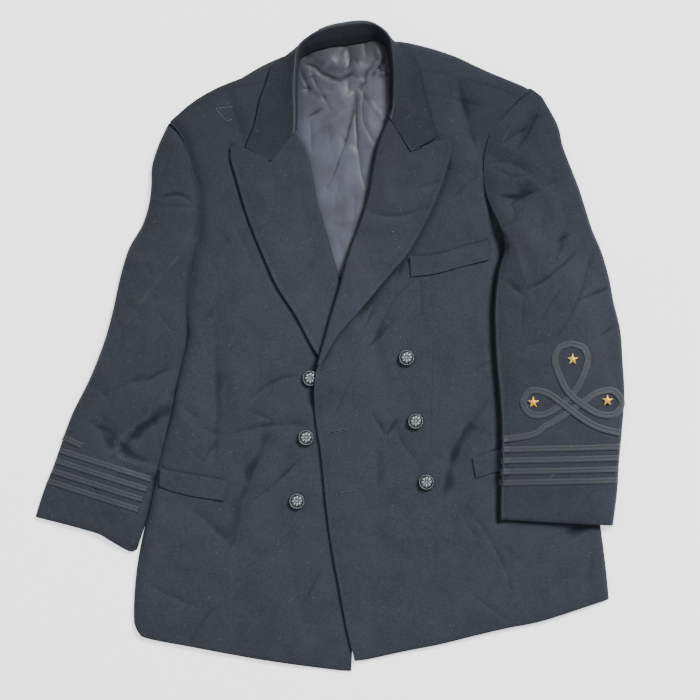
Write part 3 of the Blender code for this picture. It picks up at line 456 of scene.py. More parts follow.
# Folds and creases: both ends, the rise or the dip, the half width, the sideways bow, and the side on
# which a soft ridge stands beside a dip (1 left of its run, -1 right, 0 none)
RIGHT_FRONT_FOLDS = (
    (-171, -195, -122, -235, -2.2, 11, 3, 1),
    (-131, 45, -124, -105, -2.0, 12, 2, -1),
    (-122, 305, -100, 236, -2.2, 9, 2, 0),
    (-104, 120, -52, 0, 1.8, 22, 0, 0),
    (-120, -300, -40, -290, 1.6, 24, 0, 0),
    (-71, -99, -118, -238, -3.6, 10, -7, -1),
    (-93, -187, -33, -132, -2.4, 5, -2, 1),
    (-96, -61, -43, -34, -1.8, 5, 5, 1),
    (-96, -77, -64, -91, -1.4, 4.5, 0, -1),
    (-61, -85, -33, -94, -1.2, 4.5, 0, 1),
    (-113, -103, -34, -95, -1.8, 5, 5, -1),
    (-160, -99, -112, -103, -1.1, 5, -2, 1),
    (-159, 27, -142, 45, -1.3, 4.5, 0, 1),
    (-181, -69, -158, -89, -1.3, 4.5, 0, -1),
    (-171, -121, -155, -138, -1.2, 4.5, 0, 1),
    (-155, -138, -138, -113, -1.2, 4.5, 0, -1),
    (-221, -287, -163, -315, -1.4, 5, -2, 1),
    (-171, -362, -137, -315, -1.5, 5, 4, -1),
    (-33, -315, -9, -266, -1.2, 6, 0, 1),
    (-188, -59, -171, -138, 1.4, 8, 5, 0),
    (-83, -211, -76, -309, 1.2, 16, -8, 0),
    (-138, 44, -138, -150, -1.7, 8, 3, -1),
    (-126, 30, -122, -96, 1.4, 13, 4, 0),
    (-47, -240, -25, -357, -1.0, 10, -3, 0),
    (-151, 240, -146, 106, 1.1, 12, 7, 0),
    (-160, 130, -128, 60, -1.1, 9, 6, 1),
    (-116, 150, -98, 108, -1.1, 6, 0, 1),
    (-140, 145, -120, 118, -0.9, 6, 2, -1),
    (-207, -260, -217, -339, 1.1, 12, -8, 0),
    (-178, -190, -186, -262, -1.0, 11, 5, 1),
    (-70, 20, -40, -20, 1.2, 14, 0, 0),
)
LEFT_FRONT_FOLDS = (
    (31, 10, 104, 84, 2.4, 14, -6, 0),
    (199, -61, 139, -190, -3.6, 11, -13, 1),
    (158, 322, 184, 222, -4.8, 9, -2, 1),
    (188, 190, 206, 118, -4.6, 9, 0, 0),
    (283, -225, 320, -221, -3.2, 9, 0, 0),
    (138, 332, 161, 268, -2.0, 10, 2, 1),
    (150, 150, 165, 40, 1.6, 18, 0, 0),
    (38, 17, 57, 54, -1.5, 4.5, 0, -1),
    (33, -12, 77, 33, -1.2, 6, 0, 1),
    (56, 10, 103, 83, -1.8, 5, 6, -1),
    (77, 71, 89, 100, -1.4, 4.5, 0, 1),
    (110, 84, 111, 38, -1.3, 4.5, 0, 1),
    (52, -80, 69, -105, -1.8, 5, 0, -1),
    (69, -105, 84, -87, -1.4, 4.5, 0, 1),
    (81, -99, 112, -148, -1.5, 5, -2, 1),
    (61, -113, 58, -172, -1.1, 8, 0, 1),
    (4, -85, 28, -36, -1.2, 6, 0, -1),
    (167, -32, 196, -19, -1.2, 5, 0, 1),
    (139, 176, 124, 120, -1.2, 7, 0, 1),
    (146, 179, 180, 207, -1.7, 4.5, 0, 1),
    (158, -187, 222, -292, -1.8, 6, 7, 1),
    (176, -302, 218, -332, -1.2, 5, 0, 1),
    (317, -233, 312, -290, -1.5, 8, 4, 1),
    (166, -89, 205, -109, -1.5, 6, -5, -1),
    (152, -187, 183, -243, -1.4, 7, 1, 1),
    (85, -150, 85, -284, 0.9, 18, -9, 0),
    (37, -211, 61, -339, 0.8, 16, 3, 0),
    (256, -260, 276, -316, 1.2, 11, -5, 0),
    (149, 57, 146, -65, 1.1, 12, 6, 0),
    (92, 314, 207, 287, -1.1, 7, 2, 0),
    (116, 265, 170, 228, 1.2, 11, 8, 0),
    (180, 60, 193, -20, 1.2, 11, -5, 0),
    (120, -190, 128, -260, -1.0, 12, 4, 1),
    (205, -240, 236, -262, -1.0, 8, 3, 0),
)
RIGHT_LAPEL_FOLDS = (
    (-92, 216, -40, 70, 0.8, 14, -6, 0),
    (-37, 240, -17, 131, -0.9, 9, -6, 0),
    (-66, 220, -70, 170, -0.5, 7, 0, 1),
)
LEFT_LAPEL_FOLDS = (
    (50, 161, 119, 169, -2.2, 4.5, -5, 1),
    (103, 191, 134, 202, -1.4, 4.5, 0, 1),
    (90, 214, 112, 218, -0.8, 4.5, 0, 1),
    (60, 215, 66, 160, 1.0, 10, 4, 0),
    (37, 57, 51, 82, -0.8, 5, 0, 1),
    (22, 40, 60, 85, 0.8, 9, -4, 0),
)
RIGHT_SLEEVE_FOLDS = (
    (-279, -84, -257, -131, -2.8, 10, -3, 1),
    (-258, -128, -209, -140, -2.6, 9.5, -3, 1),
    (-278, -58, -194, -27, -2.4, 11, 3, 1),
    (-300, -10, -262, -45, 2.0, 16, 0, 0),
    (-168, 125, -283, -24, 4.4, 10, -3, 1),
    (-206, 179, -164, 173, -2.4, 4.5, 9, -1),
    (-206, 169, -162, 170, -1.4, 4.5, 0, 1),
    (-217, 180, -204, 176, 1.8, 7, 0, 0),
    (-210, 45, -185, 12, -1.6, 5, 0, 1),
    (-226, -44, -187, -24, -2.0, 6, 3, 1),
    (-214, -65, -195, -44, -1.7, 4.5, 0, 1),
    (-249, -118, -190, -70, -6.2, 9, 2, -1),
    (-248, -92, -206, -58, 1.6, 12, 2, 0),
    (-268, -95, -211, -146, -3.0, 8, -9, 1),
    (-211, -89, -205, -126, -1.5, 6, 0, 0),
    (-298, -90, -268, -101, -1.6, 6, 0, 0),
    (-223, 104, -212, 84, -1.0, 6, 0, 1),
    (-249, 118, -212, 104, 1.2, 9, -7, 0),
    (-193, 240, -208, 193, -1.3, 7, 1, 1),
    (-178, 240, -181, 196, 1.2, 8, 4, 0),
    (-305, -150, -276, -206, -1.2, 7, 7, 1),
    (-259, -174, -261, -228, 1.0, 8, 6, 0),
    (-262, 42, -258, -14, -1.2, 6, 8, 1),
    (-235, 20, -262, -40, 1.0, 9, -5, 0),
    (-300, -40, -262, -70, -1.0, 7, 5, -1),
)
LEFT_SLEEVE_FOLDS = (
    (250, 287, 227, 234, -4.2, 9, -2, 1),
    (201, 228, 255, 198, -3.8, 8, 6, 1),
    (257, 190, 216, 170, -4.0, 9, -5, -1),
    (287, 158, 268, 86, -3.6, 11, 3, 1),
    (238, 214, 246, 196, 2.4, 10, 0, 0),
    (262, 244, 275, 200, 2.2, 12, 0, 0),
    (240, 140, 250, 95, 2.4, 12, 0, 0),
    (209, 245, 237, 266, -2.4, 4.5, 1, -1),
    (229, 242, 255, 292, -2.0, 5, -2, 1),
    (245, 278, 270, 283, -1.4, 4.5, 0, 1),
    (190, 222, 211, 225, -1.5, 4.5, 0, 1),
    (198, 217, 250, 213, -2.4, 7, -8, 1),
    (206, 182, 230, 182, -3.8, 4.5, 0, -1),
    (228, 178, 250, 190, -2.0, 7, 0, 1),
    (221, 173, 206, 143, -2.4, 4.5, 9, 1),
    (202, 141, 213, 118, -4.0, 6, 0, 0),
    (220, 131, 241, 74, 2.8, 8, 0, -1),
    (213, 79, 236, 63, -2.0, 4.5, 0, -1),
    (236, 70, 297, 114, -2.8, 5.5, -4, -1),
    (263, 228, 275, 185, -2.2, 10, 4, 1),
    (265, 173, 256, 124, -1.9, 9, -3, -1),
    (274, 127, 294, 138, -1.7, 5, 0, 1),
    (256, 33, 278, 70, -1.6, 5, 1, 1),
    (274, 12, 318, 112, -2.2, 6, -5, 1),
    (300, 57, 341, 72, -2.1, 5, 0, -1),
    (235, 63, 232, 21, -1.3, 6, 0, 1),
    (329, 15, 349, 28, -1.6, 5, 0, 1),
    (247, 238, 233, 215, 2.0, 8, 0, 0),
    (254, 195, 272, 150, 2.0, 10, 5, 0),
    (298, 210, 318, 140, 1.4, 9, 0, 0),
    (293, 214, 309, 168, -1.3, 7, 3, 1),
    (221, 21, 217, -89, -1.1, 8, -4, 0),
    (329, -16, 334, -101, 1.0, 9, 6, 0),
    (233, 287, 204, 240, 1.8, 7, -1, 0),
    (292, -210, 323, -168, -1.0, 6, 0, 1),
    (302, 92, 268, 40, 1.2, 9, 2, 0),
    (222, -8, 262, 8, -1.0, 7, 4, 1),
)
LINING_FOLDS = (
    (31.7, 309, -2.9, 193, -2.6, 4.5, 5, 1),
    (31.7, 309, 41.9, 197, -2.4, 4.5, -3, -1),
    (40, 309, 53, 250, -1.6, 5, -6, -1),
    (-29, 344, -9, 331, -2.6, 4, 2, 1),
    (-9, 331, 13, 324, -2.8, 4, -2, 1),
    (13, 324, 30, 336, -2.0, 4, 0, -1),
    (21.5, 364, 23.6, 340, -2.2, 4, 2, 1),
    (48, 340, 42, 321, -2.4, 4, -2, 1),
    (42, 321, 33, 311, -2.6, 4, 0, 1),
    (68, 352, 48, 329, -2.6, 4, 2, 1),
    (56, 340, 72, 331, -2.0, 4, 0, -1),
    (-23, 335, 1, 289, -1.9, 4, -2, 1),
    (-35, 335, -13, 301, -1.6, 5, -3, 1),
    (-29, 279, -9, 289, -2.2, 5, 0, 1),
    (-23, 274, -21, 240, -1.6, 4, 0, -1),
    (-29, 256, 24, 293, 2.2, 11, -4, 0),
    (7, 226, 34, 238, 1.8, 9, 3, 0),
    (17, 215, 20, 150, 1.2, 12, 0, 0),
    (45, 300, 47, 240, 2.2, 12, 0, 0),
    (5, 320, 20, 290, 1.8, 10, 0, 0),
    (36, 350, 30, 330, 1.8, 8, 0, 0),
    (-15, 355, 10, 345, 1.8, 8, 0, 0),
    (55, 365, 62, 345, 1.8, 7, 0, 0),
    (-20, 315, -5, 305, 1.2, 8, 0, 0),
    (12, 200, 5, 160, -0.9, 5, 0, 1),
    (30, 185, 24, 130, -0.9, 5, 2, -1),
)
# Small creases of the crumpled lining, by band from the neck down: band's lower and upper y, how many
# creases it has, their longest length, and their height
CRUMPLES = ((300, 366, 18, 26, 1.5), (236, 300, 6, 30, 0.8), (120, 236, 5, 40, 0.6))
# Where they lie: the middle, and half the width at two levels. Then the shares of the longest length and
# of the height that they have, their sideways bow as a share of their length, and their half widths
CRUMPLE_MIDDLE = 18
CRUMPLE_SPREAD = ((60, 345), (10, 52))
CRUMPLE_LENGTH = (0.35, 1)
CRUMPLE_RISE = (0.4, 1.0)
CRUMPLE_BOW = (-0.15, 0.15)
CRUMPLE_WIDTH = (2.8, 5.5)

# Lines of sewing, drawn near black as a painted shadow in their seams: the panel, and the line's points
SEWING = (
    ("right_front", ((-138, 5), (-138, -55), (-137, -140))),
    ("left_front", ((126, 9), (125, -20), (124, -60), (122, -128))),
    ("left_front", ((97, 110), (98, 85))),
    ("left_front", ((192, 129), (194, 106))),
    ("right_front", ((-122, -163), (-129, -187))),
    ("left_front", ((173, -135), (177, -159))),
)
# How thin a thread's ends are, as a share of its radius, and how a line of sewing is sunk in the cloth
STRAND_END = 0.55
SEWING_STEPS = 20
SEWING_DEPTH = 0.12
SEWING_RADIUS = 0.32
# Lint on the cloth: the panel, the middle of each speck
LINT = (
    ("right_front", -186, -104), ("right_front", -177, -338), ("right_front", -122, 2),
    ("right_front", -98, -248), ("right_front", -138, -250), ("right_front", -64, -232),
    ("left_front", 70, 30), ("left_front", 81, 21), ("left_front", 86, 12), ("left_front", 76, -193),
    ("left_front", 122, -177), ("left_front", 289, -266), ("left_front", 146, -338),
    ("left_front", 43, -103), ("left_front", 50, -128), ("left_front", 150, -40),
    ("left_lapel", 79, 130), ("left_lapel", 84, 121), ("left_lapel", 76, 139),
    ("right_lapel", -52, 130), ("right_lapel", -78, 180),
    ("left_sleeve_top", 267, 106), ("left_sleeve_top", 253, 18), ("left_sleeve_top", 278, 109),
    ("right_sleeve_top", -177, 88), ("right_sleeve_top", -212, 152), ("right_sleeve_top", -290, -30),
    ("right_front", -133, 288), ("right_front", -120, 276),
)
# Loose fibres: how many, the lengths and the thickness of a speck and of a fibre, their sideways bend,
# and how high they lie
FIBRES = 260
SPECK = ((0.9, 2.0), 0.24)
FIBRE = ((2.0, 6.5), 0.07)
FIBRE_BEND = 0.8
FIBRE_LIFT = 0.15
# Where they may lie: between these places, on cloth of at least this height that rises less than this
# much within this reach
LINT_FIELD = ((-355, 355), (-390, 385))
LINT_LOWEST = 3
LINT_SLOPE = 1.2
LINT_REACH = 4
LOOSE_THREAD = (
    (-117, 291.6), (-127, 291), (-136.5, 289.5), (-137.5, 288), (-133, 283), (-128, 277.5), (-123.5, 274),
    (-121, 275.5), (-122.5, 277),
)
THREAD_RADIUS = 0.14
THREAD_LIFT = 0.2

# The floor and the camera, in metres, with the lens and the sensor in millimetres
FLOOR_SIZE = 8.0
FLOOR_DROP = 0.0004
CAMERA_CENTRE = (0.0244, -0.0037)
CAMERA_HEIGHT = 2.372
CAMERA_LENS = 100.0
CAMERA_SENSOR = 36.0
# The light of the room, and the lamps: names, places, widths and powers in watts
ROOM_COLOUR = "#e9edf2"
ROOM_LIGHT = 0.16
LIGHTS = (
    ("key_softbox", (3.8, 4.0, 5.4), 2.6, 1120.0),
    ("side_softbox", (-4.6, 2.2, 5.2), 3.0, 190.0),
    ("low_softbox", (0.3, -4.6, 3.0), 2.2, 44.0),
    ("overhead_softbox", (0.0, -0.2, 3.4), 3.0, 15.0),
)


def smooth_rows(table, steps=CURVE_STEPS):
    """Rows through the table's rows, with this many steps to a section, on a Catmull-Rom curve."""
    knots = np.array(table, float)
    padded = np.vstack([2 * knots[0] - knots[1], knots, 2 * knots[-1] - knots[-2]])
    rows = []
    for index in range(len(knots) - 1):
        before, start, end, after = padded[index:index + 4]
        for step in range(steps):
            t = step / steps
            out = 2 * start + (end - before) * t
            out += (2 * before - 5 * start + 4 * end - after) * t ** 2
            out += (3 * start - before - 3 * end + after) * t ** 3
            rows.append(out / 2)
    rows.append(knots[-1])
    return np.array(rows)


def along(line, shares):
    """Points at these shares of the length of a polyline, with the nearest one moved to each corner."""
    line = np.array(line, float)
    run = np.concatenate([[0], np.cumsum(np.linalg.norm(np.diff(line, axis=0), axis=1))])
    spots = np.asarray(shares) * run[-1]
    heading = np.unwrap(np.arctan2(*np.diff(line[:, :2], axis=0).T[::-1]))
    for corner in np.flatnonzero(np.abs(np.diff(heading)) > CORNER) + 1:
        spots[1:-1][np.argmin(np.abs(spots[1:-1] - run[corner]))] = run[corner]
    return np.stack([np.interp(spots, run, line[:, axis]) for axis in range(line.shape[1])], -1)


def quarter_turn(share):
    """How far an edge has turned down, from 1 at the edge to 0 one roll width inside it."""
    inside = np.clip(share, 0, 1)
    return 1 - np.sqrt(np.clip(1 - (1 - inside) ** 2, 0, 1))


def column_shares(width, turns_left, turns_right, cell, roll):
    """Places across a panel: close ones at an edge that turns down, and even ones elsewhere."""
    turn = (1 - np.cos(np.linspace(0, math.pi / 2, TURN_COLUMNS))) * min(roll / width, WIDEST_TURN)
    left = turn if turns_left else turn[:1]
    right = 1 - (turn if turns_right else turn[:1])[::-1]
    between = max(2, round((right[0] - left[-1]) * width / cell))
    return np.concatenate([left, np.linspace(left[-1], right[0], between + 1)[1:-1], right])


def fold_height(x, y, folds):
    """The rise of every fold at each point: a crisp crest or valley whose sides fall away, gently on
    the side to which it leans and steeply on the other."""
    rise = np.zeros_like(x)
    wander = sum(much * uneven(x, y, size, seed) for much, size, seed in WANDER)
    vary = 1 + VARY[0] * uneven(x, y, *VARY[1:])
    for x0, y0, x1, y1, height, half_width, bow, lean in folds:
        length = math.hypot(x1 - x0, y1 - y0)
        along_x, along_y = (x1 - x0) / length, (y1 - y0) / length
        run = ((x - x0) * along_x + (y - y0) * along_y) / length
        inside = np.clip(run, 0, 1)
        off = (y - y0) * along_x - (x - x0) * along_y - bow * np.sin(np.pi * inside) + wander
        past = (run - inside) * length
        swell = np.sin(np.pi * (FOLD_ENDS + (1 - 2 * FOLD_ENDS) * inside)) * vary
        side = np.where(off * lean > 0, GENTLE, STEEP) if lean else EVEN
        narrow = half_width < CORE_LIMIT
        blunt = CREST + (NARROW_CREST if narrow else BROAD_CREST) * half_width
        away = np.sqrt(off ** 2 + past ** 2 + blunt ** 2) - blunt
        core = np.exp(-(off ** 2 + past ** 2) / CORE ** 2) if narrow else 0
        share, gain = (CORE_SHARE, THIN) if narrow else (0, BROAD)
        rise += gain * height * swell * ((1 - share) * np.exp(-away / (half_width * side)) + share * core)
    return rise


def groove(x, y, line, depth, reach):
    """The dip that an edge presses into the cloth on which it lies."""
    line = np.array(line, float)
    nearest = np.full(x.shape, np.inf)
    for start, end in zip(line, line[1:]):
        step = end - start
        east, north = x - start[0], y - start[1]
        share = np.clip((east * step[0] + north * step[1]) / (step @ step), 0, 1)
        nearest = np.minimum(nearest, np.hypot(east - step[0] * share, north - step[1] * share))
    return depth * np.exp(-(nearest / reach) ** 2)


def hollow(x, y, upper, lower):
    """The shallow hollow in which a pocket's welt lies, open a little above the welt's upper edge."""
    upper, lower = smooth_rows(upper, WELT_STEPS), smooth_rows(lower, WELT_STEPS)
    from_ends = np.minimum(x - lower[0, 0], lower[-1, 0] - x) - WELT_SIDE / 2
    above = np.interp(x, upper[:, 0], upper[:, 1]) + WELT_MOUTH - y
    below = y - np.interp(x, lower[:, 0], lower[:, 1]) - WELT_FOOT
    inside = np.minimum(np.minimum(above, below), from_ends)
    return WELT_HOLLOW * np.clip(inside / WELT_SIDE + 0.5, 0, 1)


def uneven(x, y, size, seed):
    """Smooth unevenness between -1 and 1, with humps about this far apart."""
    lattice = np.random.default_rng(seed).uniform(-1, 1, (LATTICE, LATTICE))
    column, row = np.asarray(x) / size + LATTICE / 2, np.asarray(y) / size + LATTICE / 2
    left, low = np.floor(column).astype(int), np.floor(row).astype(int)
    s, t = column - left, row - low
    s, t = s * s * (3 - 2 * s), t * t * (3 - 2 * t)
    left, low = left % (LATTICE - 1), low % (LATTICE - 1)
    below = lattice[left, low] * (1 - s) + lattice[left + 1, low] * s
    above = lattice[left, low + 1] * (1 - s) + lattice[left + 1, low + 1] * s
    return below * (1 - t) + above * t


class HeightMap:
    """The top of every panel laid so far, on one square grid."""

    def __init__(self):
        self.shape = tuple(int(2 * half / MAP_STEP) + 1 for half in MAP_HALF)
        self.tops = {}

    def read(self, height, x, y):
        """The map's height at these places, between its cells."""
        column = np.clip((x + MAP_HALF[0]) / MAP_STEP, 0, self.shape[0] - 1.001)
        row = np.clip((y + MAP_HALF[1]) / MAP_STEP, 0, self.shape[1] - 1.001)
        left, low = column.astype(int), row.astype(int)
        s, t = column - left, row - low
        below = height[left, low] * (1 - s) + height[left + 1, low] * s
        above = height[left, low + 1] * (1 - s) + height[left + 1, low + 1] * s
        return below * (1 - t) + above * t

    def record(self, name, points):
        """Keeps the highest of these surface points in each cell."""
        column = np.rint((points[:, 0] + MAP_HALF[0]) / MAP_STEP).astype(int)
        row = np.rint((points[:, 1] + MAP_HALF[1]) / MAP_STEP).astype(int)
        column, row = np.clip(column, 0, self.shape[0] - 1), np.clip(row, 0, self.shape[1] - 1)
        top = np.full(self.shape, -1.0)
        np.maximum.at(top, (column, row), points[:, 2])
        self.tops[name] = top

    def under(self, names, below=None):
        """The highest of the named panels, with the table at 0, and only below a line across the jacket."""
        height = np.zeros(self.shape)
        for name in names:
            height = np.maximum(height, self.tops[name])
        if below is not None:
            height[:, int((below + MAP_HALF[1]) / MAP_STEP):] = 0
        return height


MAP = HeightMap()


def spread(height, reach, take):
    """A square moving window of this reach over the map, first along X and then along Y."""
    cells = max(1, round(reach / MAP_STEP))
    for axis in (0, 1):
        border = [(cells, cells) if side == axis else (0, 0) for side in (0, 1)]
        padded = np.pad(height, border, mode="edge")
        spots = np.arange(height.shape[axis])
        parts = [np.take(padded, spots + shift, axis) for shift in range(2 * cells + 1)]
        height = take(np.stack(parts), axis=0)
    return height


def bridged(height, reach):
    """The map under stiff cloth: it spans hollows narrower than the reach."""
    raised = spread(height, reach, np.max)
    for _ in range(3):
        raised = spread(raised, reach * 0.75, np.mean)
    return raised


def dense(points, spacing):
    """Points spread over every cell of a grid, no farther apart than the spacing."""
    longest = max(np.linalg.norm(np.diff(points, axis=axis), axis=2).max() for axis in (0, 1))
    per_cell = math.ceil(longest / spacing)
    shares = (np.arange(per_cell) + 0.5) / per_cell
    s, t = np.meshgrid(shares, shares, indexing="ij")
    weights = np.stack([(1 - s) * (1 - t), s * (1 - t), (1 - s) * t, s * t]).reshape(4, -1)
    corners = np.stack([points[:-1, :-1], points[1:, :-1], points[:-1, 1:], points[1:, 1:]])
    return np.einsum("kn,kijc->ijnc", weights, corners)


def normals_of(points):
    """Unit normals of a grid of points, facing up where its rows run down the jacket."""
    normal = np.cross(np.gradient(points, axis=0), np.gradient(points, axis=1))
    return normal / np.linalg.norm(normal, axis=2, keepdims=True).clip(1e-9)


def eased(lift):
    """A lift carried a little way past where it is needed, so that the cloth rises softly."""
    for axis in (0, 1):
        padded = np.pad(lift, 2, mode="edge")
        spots = np.arange(lift.shape[axis])
        highest = np.max([np.take(padded, spots + step, axis) for step in range(5)], axis=0)
        lift = highest[:, 2:-2] if axis == 0 else highest[2:-2]
    for _ in range(2):
        padded = np.pad(lift, 1, mode="edge")
        lift = (padded[:-2, 1:-1] + padded[2:, 1:-1] + padded[1:-1, :-2] + padded[1:-1, 2:] + 2 * lift) / 6
    return lift


def lay(points, floor, wall):
    """Lifts a surface until the inside of its wall clears the map under it, or the table."""
    ends = (slice(None, -1), slice(1, None))
    corners = [(down, across) for down in ends for across in ends]
    start = points[..., 2].copy()
    total = np.zeros(start.shape)
    for _ in range(LAY_PASSES):
        inner = points - wall * normals_of(points)
        lift = (-inner[..., 2]).clip(0)
        for face in (points, inner):
            spots = dense(face, MAP_STEP * LAY_SPACING)
            under = MAP.read(floor, spots[..., 0], spots[..., 1])
            under = np.where(under > 0, under + GAP / 2, 0)
            short = (under - spots[..., 2]).max(axis=2).clip(0)
            for corner in corners:
                lift[corner] = np.maximum(lift[corner], short)
        if lift.max() < LAID:
            break
        total += lift
        points[..., 2] = start + eased(total)
    return points


def panel(table, floor, wall, top=None, bottom=None, folds=(), hem_drop=0.0, cell=3.0, steps=STEPS,
          blend=TOP_BLEND, dips=(0.0, 0.0), beads=(0.0, 0.0), grooves=(), pockets=(), roll=ROLL, ripple=0.45,
          seed=1):
    """A panel's outer surface, as a grid of points from the top row down, laid on the map under it."""
    rows = dict(zip(SECTION, smooth_rows(table, steps).T))
    width = np.hypot(rows["right_x"] - rows["left_x"], rows["right_y"] - rows["left_y"])
    turned = [rows[edge].max() > 0 for edge in ("left_turn", "right_turn")]
    share = column_shares(np.median(width), *turned, cell, roll)
    left = np.stack([rows["left_x"], rows["left_y"]], -1)[:, None]
    right = np.stack([rows["right_x"], rows["right_y"]], -1)[:, None]
    flat = left + (right - left) * share[None, :, None]
    reach = np.linspace(0, 1, len(flat))
    for edge, line, away in ((0, top, reach), (-1, bottom, 1 - reach)):
        if line is not None:
            shift = along(line, share) - flat[edge]
            flat = flat + shift[None] * (np.clip(1 - away / blend, 0, 1) ** 2)[:, None, None]
    x, y = flat[..., 0], flat[..., 1]
    mid = 1 - np.abs(2 * share - 1) ** CROWN_POWER
    loft = rows["left_loft"][:, None] * (1 - share) + rows["right_loft"][:, None] * share
    height = MAP.read(bridged(floor, BRIDGE), x, y) + GAP + wall + loft + rows["crown"][:, None] * mid
    height += fold_height(x, y, folds)
    height += ripple * sum(much * uneven(x, y, size, seed + more) for much, size, more in RIPPLE)
    for dip, bead, inside in zip(dips, beads, (share * width[:, None], (1 - share) * width[:, None])):
        height -= dip * np.exp(-(inside / DIP_REACH) ** 2)
        trough = np.exp(-((inside - BEAD_TROUGH[0]) / BEAD_TROUGH[1]) ** 2)
        height += bead * (np.exp(-((inside - BEAD_AT) / BEAD_AT) ** 2) - 0.5 * trough)
    for line, depth, across in grooves:
        height -= groove(x, y, line, depth, across)
    for _, upper, lower in pockets:
        height -= hollow(x, y, upper, lower)
    inside = share * width[:, None] / roll
    turn = rows["left_turn"][:, None].clip(0, 1) * quarter_turn(inside)
    inside = (1 - share) * width[:, None] / roll
    turn += rows["right_turn"][:, None].clip(0, 1) * quarter_turn(inside)
    height += (REST - height) * turn
    height -= hem_drop * quarter_turn(np.linalg.norm(flat - flat[-1:], axis=2) / ROLL) * (1 - turn)
    return lay(np.dstack([x, y, height]), floor, wall)


def flat_panel(table, wall, top=None, cell=12.0):
    """A panel flat on the table, kept inside the edges that turn down over it."""
    rows = np.array(table, float)
    across = rows[:, 4:6] - rows[:, 0:2]
    across /= np.linalg.norm(across, axis=1, keepdims=True)
    rows[:, 0:2] += across * (SEAM / 2 + TURN_IN * rows[:, 3:4])
    rows[:, 4:6] -= across * (SEAM / 2 + TURN_IN * rows[:, 7:8])
    rows[:, [2, 3, 6, 7, 8]] = 0
    points = panel(rows, np.zeros(MAP.shape), wall, top=top, cell=cell, steps=HIDDEN_STEPS, ripple=0.0)
    points[..., 2] = wall
    return points


def linear(hex_colour):
    """An sRGB hex value as the linear colour that shaders take."""
    channels = [int(hex_colour[start:start + 2], 16) / 255 for start in (1, 3, 5)]
    return [v / 12.92 if v <= 0.04045 else ((v + 0.055) / 1.055) ** 2.4 for v in channels] + [1.0]


def add_node(tree, kind, settings=None, links=None):
    """A node of this kind, with its settings and its inputs, each a value or another node's output."""
    node = tree.nodes.new(kind)
    for name, value in (settings or {}).items():
        setattr(node, name, value)
    for name, value in (links or {}).items():
        socket = node.inputs[name]
        if isinstance(value, bpy.types.NodeSocket):
            tree.links.new(value, socket)
        else:
            socket.default_value = value
    return node


# A wave texture of scale 1 repeats after 0.314 m
WAVE_PERIOD = 0.314


def new_material(name, shader_values):
    """A material with its Principled shader set, and its node tree."""
    made = bpy.data.materials.new(name)
    made.use_nodes = True
    shader = made.node_tree.nodes["Principled BSDF"]
    for socket, value in shader_values.items():
        shader.inputs[socket].default_value = value
    return made, made.node_tree, shader


def mix(tree, factor, first, second):
    """The output of one colour mixed into another."""
    return add_node(tree, "ShaderNodeMix", {"data_type": "RGBA"}, {0: factor, 6: first, 7: second}).outputs[2]


def noise(tree, place, scale, detail, roughness=0.5):
    """The value of a noise texture at this place."""
    return add_node(tree, "ShaderNodeTexNoise", links={
        "Vector": place, "Scale": scale, "Detail": detail, "Roughness": roughness}).outputs[0]


def ramp(tree, value, low, high, most=1.0):
    """A value stretched, so that the low one gives 0 and the high one gives the most."""
    return add_node(tree, "ShaderNodeMapRange", links={
        "Value": value, "From Min": low, "From Max": high, "To Max": most}).outputs[0]


def bump(tree, height, strength, distance, over=None):
    """A normal that shows this relief, over another one where there is one."""
    links = {"Height": height, "Strength": strength, "Distance": distance}
    if over is not None:
        links["Normal"] = over
    return add_node(tree, "ShaderNodeBump", links=links).outputs[0]


def tones(finish):
    """The darker and the paler colour of a finish, as the user has them."""
    colours = bpy.context.scene.jacket_colours
    return tuple(getattr(colours, finish)), tuple(getattr(colours, finish + "_pale"))


